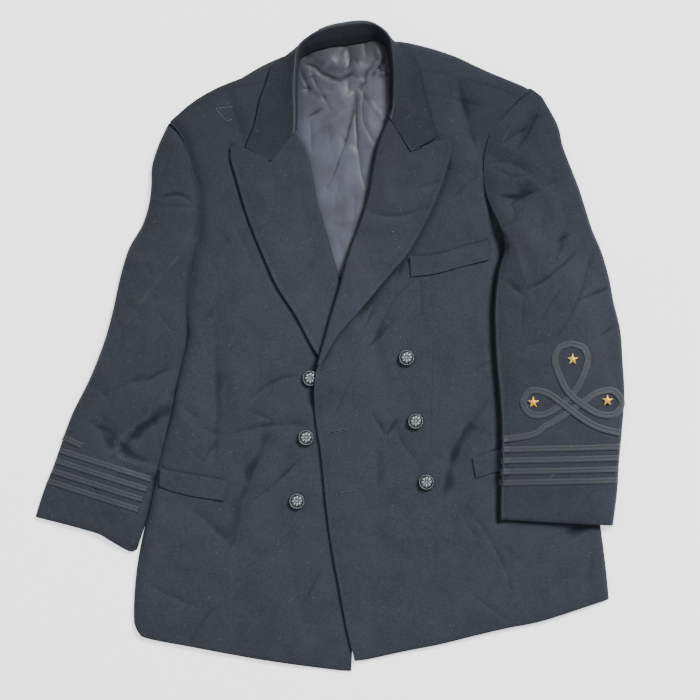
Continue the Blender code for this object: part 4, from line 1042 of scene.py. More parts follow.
def wool_cloth(name, finish, seed):
    """Milled worsted uniform wool: a fine twill under a short raised nap, which makes it soft and matt,
    with a faint bloom at its edges, paler on crests as rubbed nap and as a painted highlight, and with
    painted shade in its valleys and towards the shoulders."""
    made, tree, shader = new_material(name, {
        "Roughness": 0.92, "Specular IOR Level": 0.12, "Sheen Weight": 0.08, "Sheen Roughness": 0.5,
        "Sheen Tint": linear("#aab4c6"),
    })
    place = add_node(tree, "ShaderNodeTexCoord").outputs["Object"]
    shift = {"Vector": place, "Location": (seed, seed * 0.7, 0)}
    moved = add_node(tree, "ShaderNodeMapping", links=shift).outputs[0]
    # Nap: patches about 25 mm across, and tufts of 3 mm, drawn coarser than the real 0.5 mm to show
    patches = noise(tree, moved, scale=40.0, detail=5.0, roughness=0.62)
    tufts = noise(tree, moved, scale=420.0, detail=3.0, roughness=0.7)
    base = mix(tree, ramp(tree, patches, low=0.33, high=0.67), *tones(finish))
    raised = ramp(tree, tufts, low=0.36, high=0.64)
    tufted = mix(tree, raised, base, mix(tree, 0.11, base, linear("#5a5f6b")))
    # Painted shade in the valleys; crests, edges and roll paler, partly rubbed nap and partly painted
    # highlight
    wear_and_painted_light = add_node(tree, "ShaderNodeAttribute", {"attribute_name": "wear_and_painted_light"}).outputs["Fac"]
    valley = ramp(tree, wear_and_painted_light, low=-0.05, high=-1.3, most=0.7)
    crest = ramp(tree, wear_and_painted_light, low=0.75, high=2.2, most=0.7)
    # Shoulders: painted shade, a shade darker from the chest up, where the lamps' light falls off
    up = add_node(tree, "ShaderNodeSeparateXYZ", links={0: place}).outputs[1]
    painted_upper_shade = ramp(tree, up, low=0.06, high=0.27, most=0.27)
    painted_shade_colour = linear("#101114")
    shaded = mix(tree, valley, mix(tree, painted_upper_shade, tufted, painted_shade_colour), painted_shade_colour)
    tree.links.new(mix(tree, crest, shaded, linear("#585e66")), shader.inputs["Base Color"])
    # Twill: lines 1.8 mm apart on the diagonal, for a real thread spacing of about 0.6 mm
    twill = add_node(tree, "ShaderNodeTexWave", {"bands_direction": "DIAGONAL"}, {
        "Vector": moved, "Scale": WAVE_PERIOD / 0.0018, "Distortion": 2.0, "Detail": 2.0,
        "Detail Scale": 3.0})
    height = add_node(tree, "ShaderNodeMath", {"operation": "MULTIPLY_ADD"}, {
        0: twill.outputs[1], 1: 0.35, 2: tufts})
    weave = bump(tree, height.outputs[0], strength=0.11, distance=0.0006)
    rumple = noise(tree, moved, scale=75.0, detail=2.0)
    soft = bump(tree, rumple, strength=0.16, distance=0.0022, over=weave)
    tree.links.new(soft, shader.inputs["Normal"])
    return made


def lining_satin():
    """Viscose lining satin: a smooth float weave, which gives soft wide highlights along each wrinkle."""
    made, tree, shader = new_material("viscose lining satin", {
        "Roughness": 0.52, "Specular IOR Level": 0.42, "Sheen Weight": 0.1, "Sheen Roughness": 0.3,
    })
    place = add_node(tree, "ShaderNodeTexCoord").outputs["Object"]
    cloudy = noise(tree, place, scale=26.0, detail=3.0)
    fresh = mix(tree, ramp(tree, cloudy, low=0.35, high=0.65), *tones("lining"))
    # Neck: painted shade, darker over the top 110 mm and most under the collar, where its shadow falls
    up = add_node(tree, "ShaderNodeSeparateXYZ", links={0: place}).outputs[1]
    painted_shade_colour = linear("#121318")
    base = mix(tree, ramp(tree, up, low=0.25, high=0.36, most=0.5), fresh, painted_shade_colour)
    # Creases and neck: painted shade, darker where the attribute marks a crease or the collar's shadow
    wear_and_painted_light = add_node(tree, "ShaderNodeAttribute", {"attribute_name": "wear_and_painted_light"}).outputs["Fac"]
    crease = ramp(tree, wear_and_painted_light, low=-0.05, high=-0.75, most=0.85)
    tree.links.new(mix(tree, crease, base, painted_shade_colour), shader.inputs["Base Color"])
    # Slack: the faint unevenness, about 12 mm across, of thin cloth that lies loose
    slack = noise(tree, place, scale=80.0, detail=2.0)
    tree.links.new(bump(tree, slack, strength=0.2, distance=0.002), shader.inputs["Normal"])
    return made


def braid_weave():
    """Flat mohair braid: two plaited cords side by side, a shade paler than the wool, with a dull lustre."""
    made, tree, shader = new_material("flat mohair braid", {
        "Roughness": 0.62, "Specular IOR Level": 0.42, "Sheen Weight": 0.2, "Sheen Roughness": 0.4,
    })
    across = add_node(tree, "ShaderNodeUVMap", {"uv_map": "braid"}).outputs[0]
    # Plait: ribs 1.6 mm apart, turned to meet in a herringbone on the two cords
    parts = add_node(tree, "ShaderNodeSeparateXYZ", links={0: across})
    folded = add_node(tree, "ShaderNodeMath", {"operation": "ABSOLUTE"}, {0: parts.outputs[1]})
    joined = add_node(tree, "ShaderNodeCombineXYZ", links={0: parts.outputs[0], 1: folded.outputs[0]})
    ribs = add_node(tree, "ShaderNodeTexWave", {"bands_direction": "DIAGONAL"}, {
        "Vector": joined.outputs[0], "Scale": WAVE_PERIOD / 0.0016, "Distortion": 0.6}).outputs[1]
    place = add_node(tree, "ShaderNodeTexCoord").outputs["Object"]
    fluff = noise(tree, place, scale=380.0, detail=3.0, roughness=0.75)
    speck = ramp(tree, fluff, low=0.38, high=0.66)
    ribbed = mix(tree, ribs, *tones("braid"))
    tree.links.new(mix(tree, speck, ribbed, linear("#2e3239")), shader.inputs["Base Color"])
    tree.links.new(bump(tree, ribs, strength=0.35, distance=0.0004), shader.inputs["Normal"])
    return made


def antique_silver():
    """Stamped white metal with an antique finish: dark in its hollows and rubbed bright on its relief."""
    made, tree, shader = new_material("antique silver plate", {"Roughness": 0.42, "Metallic": 0.45})
    relief = add_node(tree, "ShaderNodeAttribute", {"attribute_name": "relief"}).outputs["Fac"]
    place = add_node(tree, "ShaderNodeTexCoord").outputs["Object"]
    tarnish = noise(tree, place, scale=600.0, detail=3.0)
    worn = add_node(tree, "ShaderNodeMath", {"operation": "MULTIPLY_ADD", "use_clamp": True}, {
        0: tarnish, 1: 0.3, 2: relief})
    shown = ramp(tree, worn.outputs[0], low=0.25, high=1.0)
    tree.links.new(mix(tree, shown, *tones("button")), shader.inputs["Base Color"])
    return made


def speckled(name, finish, scale, detail, shader_values):
    """A material that mixes its two tones by a noise of this scale."""
    made, tree, shader = new_material(name, shader_values)
    place = add_node(tree, "ShaderNodeTexCoord").outputs["Object"]
    tone = mix(tree, noise(tree, place, scale, detail), *tones(finish))
    tree.links.new(tone, shader.inputs["Base Color"])
    return made


def gilt_brass():
    """Gilt stamped brass: warm and fairly bright, with fine brushing."""
    return speckled("gilt brass", "gilt", 900.0, 3.0, {"Roughness": 0.4, "Metallic": 0.4})


def twist(name, finish, roughness):
    """Twisted thread: even, with a dull lustre."""
    return speckled(name, finish, 1500.0, 2.0, {"Roughness": roughness, "Sheen Weight": 0.15})


def seamless_paper():
    """A sheet of pale background paper: matt, with the faintest mottling, and lit through from below as on
    a light table, so that the jacket's own shadow on it is faint."""
    return speckled("seamless paper", "paper", 6.0, 3.0, {
        "Roughness": 0.95, "Specular IOR Level": 0.2, "Emission Color": linear("#ffffff"),
        "Emission Strength": 1.12,
    })


MATERIALS = {}


def material_for(finish):
    """The finish's material, made the first time that a piece asks for it."""
    makers = {
        "wool": lambda: wool_cloth("milled worsted wool", "wool", 0.0),
        # Sleeves: the same wool in darker tones, as painted shade for the lesser light on them
        "wool_sleeve_shaded": lambda: wool_cloth("milled worsted wool, sleeves in painted shade", "wool_sleeve_shaded", 0.17),
        "wool_lapel": lambda: wool_cloth("milled worsted wool, lapel facing", "wool_lapel", 0.31),
        "wool_collar": lambda: wool_cloth("milled worsted wool, collar", "wool_collar", 0.47),
        "lining": lining_satin,
        "braid": braid_weave,
        "button": antique_silver,
        "gilt": gilt_brass,
        "twist": lambda: twist("silk buttonhole twist", "twist", 0.5),
        # Sewing: near black, as painted shadow in the seams of darts and pocket ends
        "sewing": lambda: twist("sewing cotton darkened as painted seam shadow", "sewing", 0.8),
        # Slits and eyes: near black, as painted shade in the buttonholes
        "slit": lambda: twist("shaded buttonhole slit", "slit", 0.95),
        "lint": lambda: twist("white lint", "lint", 0.8),
    }
    if finish not in MATERIALS:
        MATERIALS[finish] = makers[finish]()
    return MATERIALS[finish]


def put(name, mesh, finish, replaces=None):
    """A piece of the jacket with its finish, riding on the one body that the cloth makes."""
    mesh.materials.append(material_for(finish))
    made = bpy.data.objects.new(name, mesh)
    bpy.context.scene.collection.objects.link(made)
    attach(made, "root")
    if replaces:
        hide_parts(replaces)
    return made


def blurred(level, passes):
    """The heights evened out with those of the neighbouring points, once for each pass."""
    for _ in range(passes):
        padded = np.pad(level, 1, mode="edge")
        level = (padded[:-2, 1:-1] + padded[2:, 1:-1] + padded[1:-1, :-2] + padded[1:-1, 2:]) / 6 + level / 3
    return level


def rubbed(points):
    """How far each point stands above the cloth round it: 1 on a crest, drawn paler as wear and as a
    painted highlight, -1 in a broad valley, drawn darker as painted shade, and less in a fine one by the
    share that it has."""
    height = points[..., 2]
    fine = np.tanh((height - blurred(height, CREST_VALLEY_PASSES)) / CREST_VALLEY_HEIGHT)
    broad = np.tanh((height - blurred(height, WIDE_PASSES) + WIDE_START) / WIDE_HEIGHT)
    from_border = [np.minimum(np.arange(count), np.arange(count)[::-1]) for count in height.shape]
    inside = np.clip((np.minimum.outer(*from_border) - CREST_BORDER[0]) / CREST_BORDER[1], 0, 1)
    return np.where(fine > 0, fine * inside, FINE_VALLEY * fine) + np.minimum(broad, 0)


def sheet(node, points, finish, wall, outer_down=False, keep=None, declare=True, rim=RIM,
          painted_light_and_wear=0.0):
    """A grid bent through the points, as an open surface with its wall inside and its rim rounded."""
    rows, columns = points.shape[:2]
    shell = bmesh.new()
    bmesh.ops.create_grid(shell, x_segments=columns - 1, y_segments=rows - 1, size=1)
    shell.verts.ensure_lookup_table()
    for vertex, spot in zip(shell.verts, points[::-1].reshape(-1, 3)):
        vertex.co = spot * MM
    if keep is not None:
        cut = [face for face, stays in zip(shell.faces[:], keep[::-1].reshape(-1)) if not stays]
        bmesh.ops.delete(shell, geom=cut, context="FACES")
    if outer_down:
        bmesh.ops.reverse_faces(shell, faces=shell.faces)
    area = sum(face.calc_area() for face in shell.faces)
    mesh = bpy.data.meshes.new(node + "_cloth")
    # The attribute that the materials read: crests paler, partly wear and partly painted highlight, valleys
    # darker as painted shade
    if keep is None:
        wear_and_painted_light_layer = shell.verts.layers.float.new("wear_and_painted_light")
        for vertex, wear_and_painted_light in zip(shell.verts, (rubbed(points) + painted_light_and_wear)[::-1].reshape(-1)):
            vertex[wear_and_painted_light_layer] = wear_and_painted_light
    shell.to_mesh(mesh)
    shell.free()
    mesh.shade_smooth()
    made = put(node + "_cloth", mesh, finish, node)
    solidify = made.modifiers.new("wall", "SOLIDIFY")
    solidify.thickness = wall * MM
    solidify.offset = -1
    if rim:
        bevel = made.modifiers.new("rim", "BEVEL")
        bevel.width = min(rim, wall * RIM_SHARE) * MM
        bevel.segments = 2
        bevel.limit_method = "ANGLE"
        bevel.angle_limit = RIM_ANGLE
        weighted = made.modifiers.new("shading", "WEIGHTED_NORMAL")
        weighted.keep_sharp = True
    inner = points - (-wall if outer_down else wall) * normals_of(points)
    faces = [dense(face, MAP_STEP).reshape(-1, 3) for face in (points, inner)]
    MAP.record(node, np.concatenate(faces))
    if declare:
        size = [float(np.ptp(points[..., axis])) * MM for axis in (0, 1)]
        size[1] = max(size[1], area / size[0])
    return made


def sizes():
    """The lengths that a user can change, in millimetres."""
    props = bpy.context.scene.jacket_sizes
    plain = ("petals", "light_level")
    return {name: getattr(props, name) / MM for name in props.__annotations__ if name not in plain}


def build_back(node, rows, fold, neck, seam, neck_first, wall):
    """One back: its flat part, then the part that rolls up over the shoulder fold to the seam."""
    fold, neck = smooth_rows(fold), smooth_rows(neck)
    top = np.vstack([neck, fold[1:]]) if neck_first else np.vstack([fold, neck[1:]])
    floor_part = flat_panel(rows, wall, top=top)
    edge = floor_part[0, :, 0]
    columns = np.flatnonzero(edge >= fold[0][0] - 1 if neck_first else edge <= fold[-1][0] + 1)
    places = np.linspace(0, 1, len(columns))
    over, joined = along(fold, places), along(smooth_rows(seam), places)
    joined[:, 1] -= TUCK
    outward = over - joined
    outward /= np.linalg.norm(outward, axis=1, keepdims=True)
    heights = np.interp(1 - places if neck_first else places, (0, 1), SHOULDER_HEIGHT)
    wrap = np.repeat(floor_part[:1], len(WRAP) + 1, axis=0)
    wrap[-1, columns, :2] = over - outward * wall * FOLD_FOOT
    wrap[-1, columns, 2] = 0.0
    for step, (share_in, share_up) in enumerate(reversed(WRAP)):
        spot = over + (joined - over) * share_in
        wrap[step, columns, :2] = spot
        rumple = SHOULDER_RUMPLE[0] * uneven(*spot.T[:2], *SHOULDER_RUMPLE[1:]) * share_up * (1 - share_in)
        wrap[step, columns, 2] = heights * share_up + rumple - (SEAM_DROP if share_in == 1 else 0)
    flat = floor_part.copy()
    flat[..., 2] = 0
    flat[0, columns, :2] = over - outward * ROLL
    points = np.vstack([wrap, flat])
    keep = np.ones((len(points) - 1, points.shape[1] - 1), bool)
    keep[:len(WRAP) + 1] = False
    keep[:len(WRAP) + 1, columns[0]:columns[-1]] = True
    sheet(node, points, "wool", wall, outer_down=True, keep=keep)
    MAP.record(node, dense(floor_part, MAP_STEP).reshape(-1, 3))
    MAP.record(node + "_shoulder", dense(wrap[:, columns], MAP_STEP).reshape(-1, 3))


def under_rows(rows):
    """The sections of an under sleeve: from below the shoulder point to just inside the cuff."""
    last = list(rows[-1])
    last[1] += CUFF_INSET
    last[5] += CUFF_INSET
    return [*rows[1:-1], last]


def seat(x, y, radius, names):
    """The height on which a small round piece sits."""
    offset = np.linspace(-radius, radius, 9)
    east, north = np.meshgrid(offset, offset)
    return MAP.read(MAP.under(names), x + east, y + north).max() + GAP


def button(node, x, y, radius, petals):
    """A shank button: a rope rim, a sunk ring and a plain flower of petals, turned from its section."""
    carrier = "right_front" if node.startswith("right") else "left_front"
    base = seat(x, y, SHANK_RADIUS, [carrier])
    brim = max(base + BUTTON_LIFT, seat(x, y, radius, [carrier]))
    top = brim + BUTTON_THICKNESS
    section = smooth_rows(BUTTON_SECTION, BUTTON_STEPS)
    section[:, 1] = section[:, 1].clip(0, BUTTON_THICKNESS - BUTTON_EASE)
    disc = bmesh.new()
    bmesh.ops.create_grid(disc, x_segments=BUTTON_TURNS, y_segments=len(section) - 1, size=1)
    disc.verts.ensure_lookup_table()
    shown = []
    for index, vertex in enumerate(disc.verts):
        share, drop = section[index // (BUTTON_TURNS + 1)]
        angle = math.tau * (index % (BUTTON_TURNS + 1)) / BUTTON_TURNS
        front = drop < BUTTON_FRONT
        petal = abs(math.cos(angle * petals / 2)) ** PETAL_ROUNDNESS * front
        rope = (0.5 + 0.5 * math.sin(angle * ROPE_TURNS + ROPE_SLANT * share)) * front
        height, shine = top - drop, 0.0 if front else BUTTON_BACK_SHINE
        for strength, (middle, width, rise, bright) in ((petal, PETAL), (rope, ROPE), (1.0, BOSS)):
            there = strength * math.exp(-((share - middle) / width) ** 2)
            height += rise * there
            shine += bright * there
        shown.append(min(1.0, shine))
        away = share * radius
        vertex.co = np.array((away * math.cos(angle), away * math.sin(angle), height)) * MM
    mesh = bpy.data.meshes.new(node + "_metal")
    disc.to_mesh(mesh)
    disc.free()
    relief = mesh.attributes.new("relief", "FLOAT", "POINT")
    relief.data.foreach_set("value", shown)
    mesh.shade_smooth()
    made = put(node + "_metal", mesh, "button", node)
    made.location = (x * MM, y * MM, 0)
    shank = bmesh.new()
    bmesh.ops.create_cone(shank, cap_ends=True, segments=24, radius1=SHANK_RADIUS * SHANK_FOOT * MM,
                          radius2=SHANK_RADIUS * MM, depth=(brim + 1 - base) * MM)
    shank_mesh = bpy.data.meshes.new(node + "_shank")
    shank.to_mesh(shank_mesh)
    shank.free()
    shank_mesh.shade_smooth()
    stem = put(node + "_shank", shank_mesh, "button")
    stem.location = (x * MM, y * MM, (base + brim + 1) / 2 * MM)
    disc_top = np.linspace(-radius, radius, 25)
    east, north = np.meshgrid(disc_top, disc_top)
    spots = np.column_stack([x + east.ravel(), y + north.ravel(), np.full(east.size, top)])
    MAP.record(node, spots[np.hypot(east, north).ravel() <= radius])


def braid(node, line, carrier, width, wall, levels=0.0):
    """A flat braid of two cords along a line on a sleeve, with the sleeve's own folds under it."""
    direction = np.gradient(line, axis=0)
    direction /= np.linalg.norm(direction, axis=1, keepdims=True)
    across = np.linspace(1, -1, BRAID_COLUMNS)
    side = np.stack([-direction[:, 1], direction[:, 0]], -1) * width / 2
    flat = line[None] + side[None] * across[:, None, None]
    near = spread(spread(MAP.under([carrier]), MAP_STEP, np.max), 2 * MAP_STEP, np.mean)
    cords = np.sqrt(np.clip(1 - ((np.abs(across) - 0.5) / 0.5) ** 2, 0, 1))
    height = MAP.read(near, flat[..., 0], flat[..., 1]) + BRAID_RISE + cords[:, None] * CORD
    points = np.dstack([flat, height + np.broadcast_to(levels * KNOT_LEVEL, height.shape)])
    face_up = normals_of(points)[..., 2].mean() > 0
    made = sheet(node, points if face_up else points[::-1], "braid", wall, declare=False, rim=0)
    run = np.concatenate([[0], np.cumsum(np.linalg.norm(np.diff(line, axis=0), axis=1))])
    layer = made.data.uv_layers.new(name="braid")
    grid = np.stack(np.meshgrid(run, across * width / 2), -1)
    grid = (grid if face_up else grid[::-1])[::-1].reshape(-1, 2) * MM
    for loop in made.data.loops:
        layer.data[loop.index].uv = grid[loop.vertex_index]


def stripes(side, start, end, step, carrier, width, wall):
    """The four stripes round one cuff."""
    for index in range(STRIPES):
        shift = np.array(step) * index
        line = along([start + shift, end + shift], np.linspace(0, 1, STRIPE_ROWS))
        braid(f"{side}_cuff_stripe_{index + 1}", line, carrier, width, wall)


def strand(shell, spots, radius, sides=5):
    """A thin tube through these points, in millimetres, added to a mesh that is being built."""
    spots = np.array(spots, float)
    run = np.gradient(spots, axis=0)
    run /= np.linalg.norm(run, axis=1, keepdims=True).clip(1e-9)
    side = np.cross(run, (0, 0, 1.0))
    side /= np.linalg.norm(side, axis=1, keepdims=True).clip(1e-9)
    up = np.cross(side, run)
    rings = []
    for index, spot in enumerate(spots):
        thick = radius * (STRAND_END if index in (0, len(spots) - 1) else 1)
        ring = []
        for turn in range(sides):
            angle = math.tau * turn / sides
            at = spot + (side[index] * math.cos(angle) + up[index] * math.sin(angle)) * thick
            ring.append(shell.verts.new(at * MM))
        rings.append(ring)
    for first, second in zip(rings, rings[1:]):
        for turn in range(sides):
            after = (turn + 1) % sides
            shell.faces.new((first[turn], first[after], second[after], second[turn]))
    shell.faces.new(rings[0][::-1])
    shell.faces.new(rings[-1])


def finish_mesh(shell, name, finish):
    """Turns a built mesh into a smooth piece of the jacket."""
    bmesh.ops.recalc_face_normals(shell, faces=shell.faces)
    mesh = bpy.data.meshes.new(name)
    shell.to_mesh(mesh)
    shell.free()
    mesh.shade_smooth()
    return put(name, mesh, finish)


def build_backs():
    """Both backs: the fronts' sections inside their outer edge, and their own at each end."""
    wall = sizes()["wall"]
    right = [(*row[:4], CENTRE_BACK, row[5], 0, 0, 0) for row in RIGHT_FRONT[1:-1]]
    left = [(CENTRE_BACK, max(row[1], row[5]), 0, 0, *row[4:8], 0) for row in LEFT_FRONT[1:-1]]
    right = [RIGHT_BACK_ENDS[0], *right, RIGHT_BACK_ENDS[1]]
    left = [LEFT_BACK_ENDS[0], *left, LEFT_BACK_ENDS[1]]
    build_back("right_back", right, RIGHT_SHOULDER_FOLD, RIGHT_NECK, RIGHT_SHOULDER_SEAM, False, wall)
    build_back("left_back", left, LEFT_SHOULDER_FOLD, LEFT_NECK, LEFT_SHOULDER_SEAM, True, wall)


def crumples():
    """Small creases at every angle, between the listed ones."""
    chance = np.random.default_rng(29)
    folds = []
    for low, high, count, longest, tall in CRUMPLES:
        for _ in range(count):
            y, length = chance.uniform(low, high), chance.uniform(*CRUMPLE_LENGTH) * longest
            half = np.interp(y, *CRUMPLE_SPREAD)
            x, angle = CRUMPLE_MIDDLE + half * chance.uniform(-1, 1), chance.uniform(0, math.pi)
            east, north = length / 2 * math.cos(angle), length / 2 * math.sin(angle)
            height = tall * chance.uniform(*CRUMPLE_RISE) * chance.choice((-1, 1))
            bow, lean = chance.uniform(*CRUMPLE_BOW) * length, chance.choice((-1, 0, 1))
            width = chance.uniform(*CRUMPLE_WIDTH)
            folds.append((x - east, y - north, x + east, y + north, height, width, bow, lean))
    return folds


def roll_wear_and_highlight(points, edge):
    """Wear along a lapel's roll, also a painted highlight: most at the top, and gone half way down."""
    down = np.clip(1 - np.linspace(0, 1, len(points)) / LAPEL_WEAR_END, 0, 1)[:, None]
    inside = np.linalg.norm(points[..., :2] - edge[..., :2], axis=2)
    return ROLL_WEAR_AND_HIGHLIGHT * down * np.exp(-(inside / LAPEL_WEAR_REACH) ** 2)


def build_lining():
    """The lining in the neck, with painted shade under the collar."""
    wall = sizes()["lining_wall"]
    points = panel(LINING, MAP.under(["right_back", "left_back"]), wall, top=smooth_rows(LINING_TOP, 4),
                   folds=[*LINING_FOLDS, *crumples()], cell=1.2, steps=34, ripple=0.5, seed=21)
    below = np.linalg.norm(points - points[:1], axis=2)
    sheet("back_lining", points, "lining", wall, rim=0,
          painted_light_and_wear=-NECK_SHADE * np.exp(-(below / NECK_REACH) ** 2))


def build_right_front():
    """The right front and its lapel. Each line pressed into the front has its depth and its reach."""
    wall, cell = sizes()["wall"], sizes()["cell"]
    backs = ["right_back", "left_back", "back_lining"]
    pressed = (
        (smooth_rows([row[0:2] for row in RIGHT_LAPEL], PRESS_STEPS), 0.9, 3.6),
        (smooth_rows([row[0:2] for row in LEFT_FRONT[8:]], PRESS_STEPS), 0.2, 4.0),
        (((-4, 20), (-20, -28), (-22, -66)), 1.6, 9.0),
        (smooth_rows([row[0:2] for row in COLLAR[:5]], PRESS_STEPS), 0.6, 2.6),
        ((RIGHT_GORGE[0], RIGHT_GORGE[2]), 0.6, 2.6),
    )
    front = panel(RIGHT_FRONT, MAP.under(backs), wall, top=smooth_rows(RIGHT_SHOULDER_SEAM),
                  bottom=smooth_rows(RIGHT_HEM), folds=RIGHT_FRONT_FOLDS, hem_drop=HEM_DROP, cell=cell,
                  dips=(3.2, 0.0), grooves=pressed, pockets=[RIGHT_HIP_WELT], seed=3)
    sheet("right_front", front, "wool", wall)
    wall = sizes()["lapel_wall"]
    lapel = panel(RIGHT_LAPEL, MAP.under(["right_front", "back_lining"]), wall, top=RIGHT_GORGE,
                  folds=RIGHT_LAPEL_FOLDS, blend=LAPEL_BLEND, cell=cell, beads=(0.45, 0.0), roll=LAPEL_ROLL,
                  ripple=0.3, seed=5)
    sheet("right_lapel", lapel, "wool_lapel", wall,
          painted_light_and_wear=roll_wear_and_highlight(lapel, lapel[:, -1:]))


def build_left_front():
    """The left front and its lapel. Each line pressed into the front has its depth and its reach."""
    wall, cell = sizes()["wall"], sizes()["cell"]
    names = ["right_back", "left_back", "back_lining", "right_front", "right_lapel", "right_button_1"]
    pressed = (
        (smooth_rows([row[4:6] for row in LEFT_LAPEL[2:]], PRESS_STEPS), 3.4, 8.0),
        (smooth_rows([row[0:2] for row in COLLAR[-5:]], PRESS_STEPS), 0.6, 2.6),
        (smooth_rows(LEFT_SLEEVE_INNER, PRESS_STEPS), 2.4, 6.0),
        ((LEFT_GORGE[2], LEFT_GORGE[4]), 0.6, 2.6),
    )
    front = panel(LEFT_FRONT, MAP.under(names), wall, top=smooth_rows(LEFT_SHOULDER_SEAM),
                  bottom=smooth_rows(LEFT_HEM), folds=LEFT_FRONT_FOLDS, hem_drop=HEM_DROP, cell=cell,
                  dips=(0.0, 0.9), beads=(0.35, 0.0), grooves=pressed,
                  pockets=[BREAST_WELT, LEFT_HIP_WELT], seed=7)
    sheet("left_front", front, "wool", wall)
    under_lapel = MAP.under(["left_front", "right_front", "right_lapel", "back_lining"])
    wall = sizes()["lapel_wall"]
    lapel = panel(LEFT_LAPEL, under_lapel, wall, top=LEFT_GORGE, folds=LEFT_LAPEL_FOLDS, blend=LAPEL_BLEND,
                  cell=cell, beads=(0.0, 0.45), roll=LAPEL_ROLL, ripple=0.3, seed=9)
    sheet("left_lapel", lapel, "wool_lapel", wall,
          painted_light_and_wear=0.5 * roll_wear_and_highlight(lapel, lapel[:, :1]))


def build_collar():
    """One folded strip: the fall on the shoulders, the roll, and the stand down to the neck seam."""
    wall = sizes()["wall"]
    shoulders = ["right_back_shoulder", "left_back_shoulder"]
    floor = MAP.under(["right_front", "left_front", "back_lining", *shoulders])
    lying = bridged(floor, BRIDGE)
    rows = smooth_rows(COLLAR, COLLAR_STEPS)
    fall, roll, seam, share = rows[:, 0:2], rows[:, 2:4], rows[:, 4:6], rows[:, 6]
    outward = (roll - seam) / np.linalg.norm(roll - seam, axis=1, keepdims=True)
    roll_height = COLLAR_ROLL_HEIGHT * share
    bend = np.clip(1 - np.arange(len(rows)) / (2 * COLLAR_STEPS), 0, 1) ** 2
    right_notch = np.array(RIGHT_NOTCH) - (roll[0] + (fall[0] - roll[0]) * NOTCH_SHARE)
    left_notch = np.array(LEFT_NOTCH) - (roll[-1] + (fall[-1] - roll[-1]) * NOTCH_SHARE)
    kink = bend[:, None] * right_notch + bend[::-1, None] * left_notch
    width = np.linalg.norm(fall - roll, axis=1)
    nape = np.clip((COLLAR_NAPE + NAPE_EASE - width) / NAPE_EASE, 0, 1)
    fall_height = MAP.read(lying, fall[:, 0], fall[:, 1]) + GAP + wall
    fall_height += (NAPE_HEIGHT - fall_height) * nape
    outer, inner = FALL_COLUMNS
    fall_steps = np.concatenate([np.linspace(1, NOTCH_SHARE, outer), np.linspace(NOTCH_SHARE, 0, inner)[1:]])
    columns = []
    for step in fall_steps:
        kinked = step / NOTCH_SHARE if step < NOTCH_SHARE else (1 - step) / (1 - NOTCH_SHARE)
        spot = roll + (fall - roll) * step + kink * kinked
        spot = spot + outward * NAPE_BULGE * math.sin(math.pi * min(1.0, step / BULGE_SHARE)) * nape[:, None]
        height = roll_height + (fall_height - roll_height) * (1 - (1 - step) ** 3)
        columns.append(np.column_stack([spot, height]))
    neck = MAP.under(["back_lining", "right_back", "left_back"])
    seam_height = MAP.read(neck, seam[:, 0], seam[:, 1]) + GAP + wall
    for step in np.linspace(0, 1, STAND_COLUMNS)[1:]:
        spot = roll + (seam - roll) * step
        height = roll_height + (seam_height - roll_height) * step ** STAND_FALL
        columns.append(np.column_stack([spot, height]))
    points = np.stack(columns, axis=1)
    centre = len(fall_steps) - 1
    for _ in range(2):
        near = points[:, centre - ROLL_COLUMNS:centre + ROLL_COLUMNS + 1]
        near[:, 1:-1] = (near[:, :-2] + 2 * near[:, 1:-1] + near[:, 2:]) / 4
    from_roll = np.arange(points.shape[1]) - centre
    points[..., 2] += COLLAR_RUMPLE[0] * uneven(points[..., 0], points[..., 1], *COLLAR_RUMPLE[1:])
    rumple = ROLL_RUMPLE[0] * uneven(rows[:, 2:3], rows[:, 3:4], *ROLL_RUMPLE[1:])
    points[..., 2] += np.exp(-(from_roll / RUMPLE_COLUMNS) ** 2) * rumple
    rumple = STAND_RUMPLE[0] * uneven(rows[:, 2:3], 0 * rows[:, 3:4], *STAND_RUMPLE[1:])
    on_stand = np.exp(-((from_roll - ROLL_COLUMNS) / RUMPLE_COLUMNS) ** 2) * (from_roll > 0)
    points[..., 1] -= on_stand * rumple
    for lapel, weight, row, way in (("right_lapel", bend, 0, -1), ("left_lapel", bend[::-1], -1, 1)):
        top = spread(MAP.tops[lapel], MAP_STEP, np.max)
        end = points[row]
        level = MAP.read(top, end[:, 0] + way * LAPEL_REACH[0], end[:, 1] - LAPEL_REACH[1])
        shift = np.where(level > 0, level + LAPEL_CLEARANCE - end[:, 2], 0)
        shift[:outer] = shift[outer - 1] * np.linspace(0, 1, outer) ** 2
        window = 2 * END_COLUMNS + 1
        shift = np.convolve(np.pad(shift, END_COLUMNS, mode="edge"), np.ones(window) / window, mode="valid")
        points[..., 2] += weight[:, None] * shift
    points = lay(points, floor, wall)
    # Wear along the collar's roll, also a painted highlight where the roll catches the light
    worn = np.exp(-(from_roll / COLLAR_WEAR_REACH) ** 2) * ROLL_WEAR_AND_HIGHLIGHT
    if normals_of(points)[..., 2].mean() < 0:
        points, worn = points[:, ::-1], worn[::-1]
    sheet("collar", points, "wool_collar", wall,
          painted_light_and_wear=np.broadcast_to(worn, points.shape[:2]))


def build_welts():
    """The three pocket welts, each in the hollow of its front."""
    wall = sizes()["welt_wall"]
    for node, (carrier, top, bottom) in WELTS.items():
        rows = [(*edge[0], 0, 0, *edge[-1], 0, 0, 0) for edge in (top, bottom)]
        floor = spread(MAP.under([carrier]), MAP_STEP, np.max)
        points = panel(rows, floor, wall, top=smooth_rows(top, WELT_STEPS), cell=3.0,
                       bottom=smooth_rows(bottom, WELT_STEPS), steps=10, blend=1.0, ripple=0.1, seed=41)
        sheet(node, points, "wool", wall, rim=0.5)


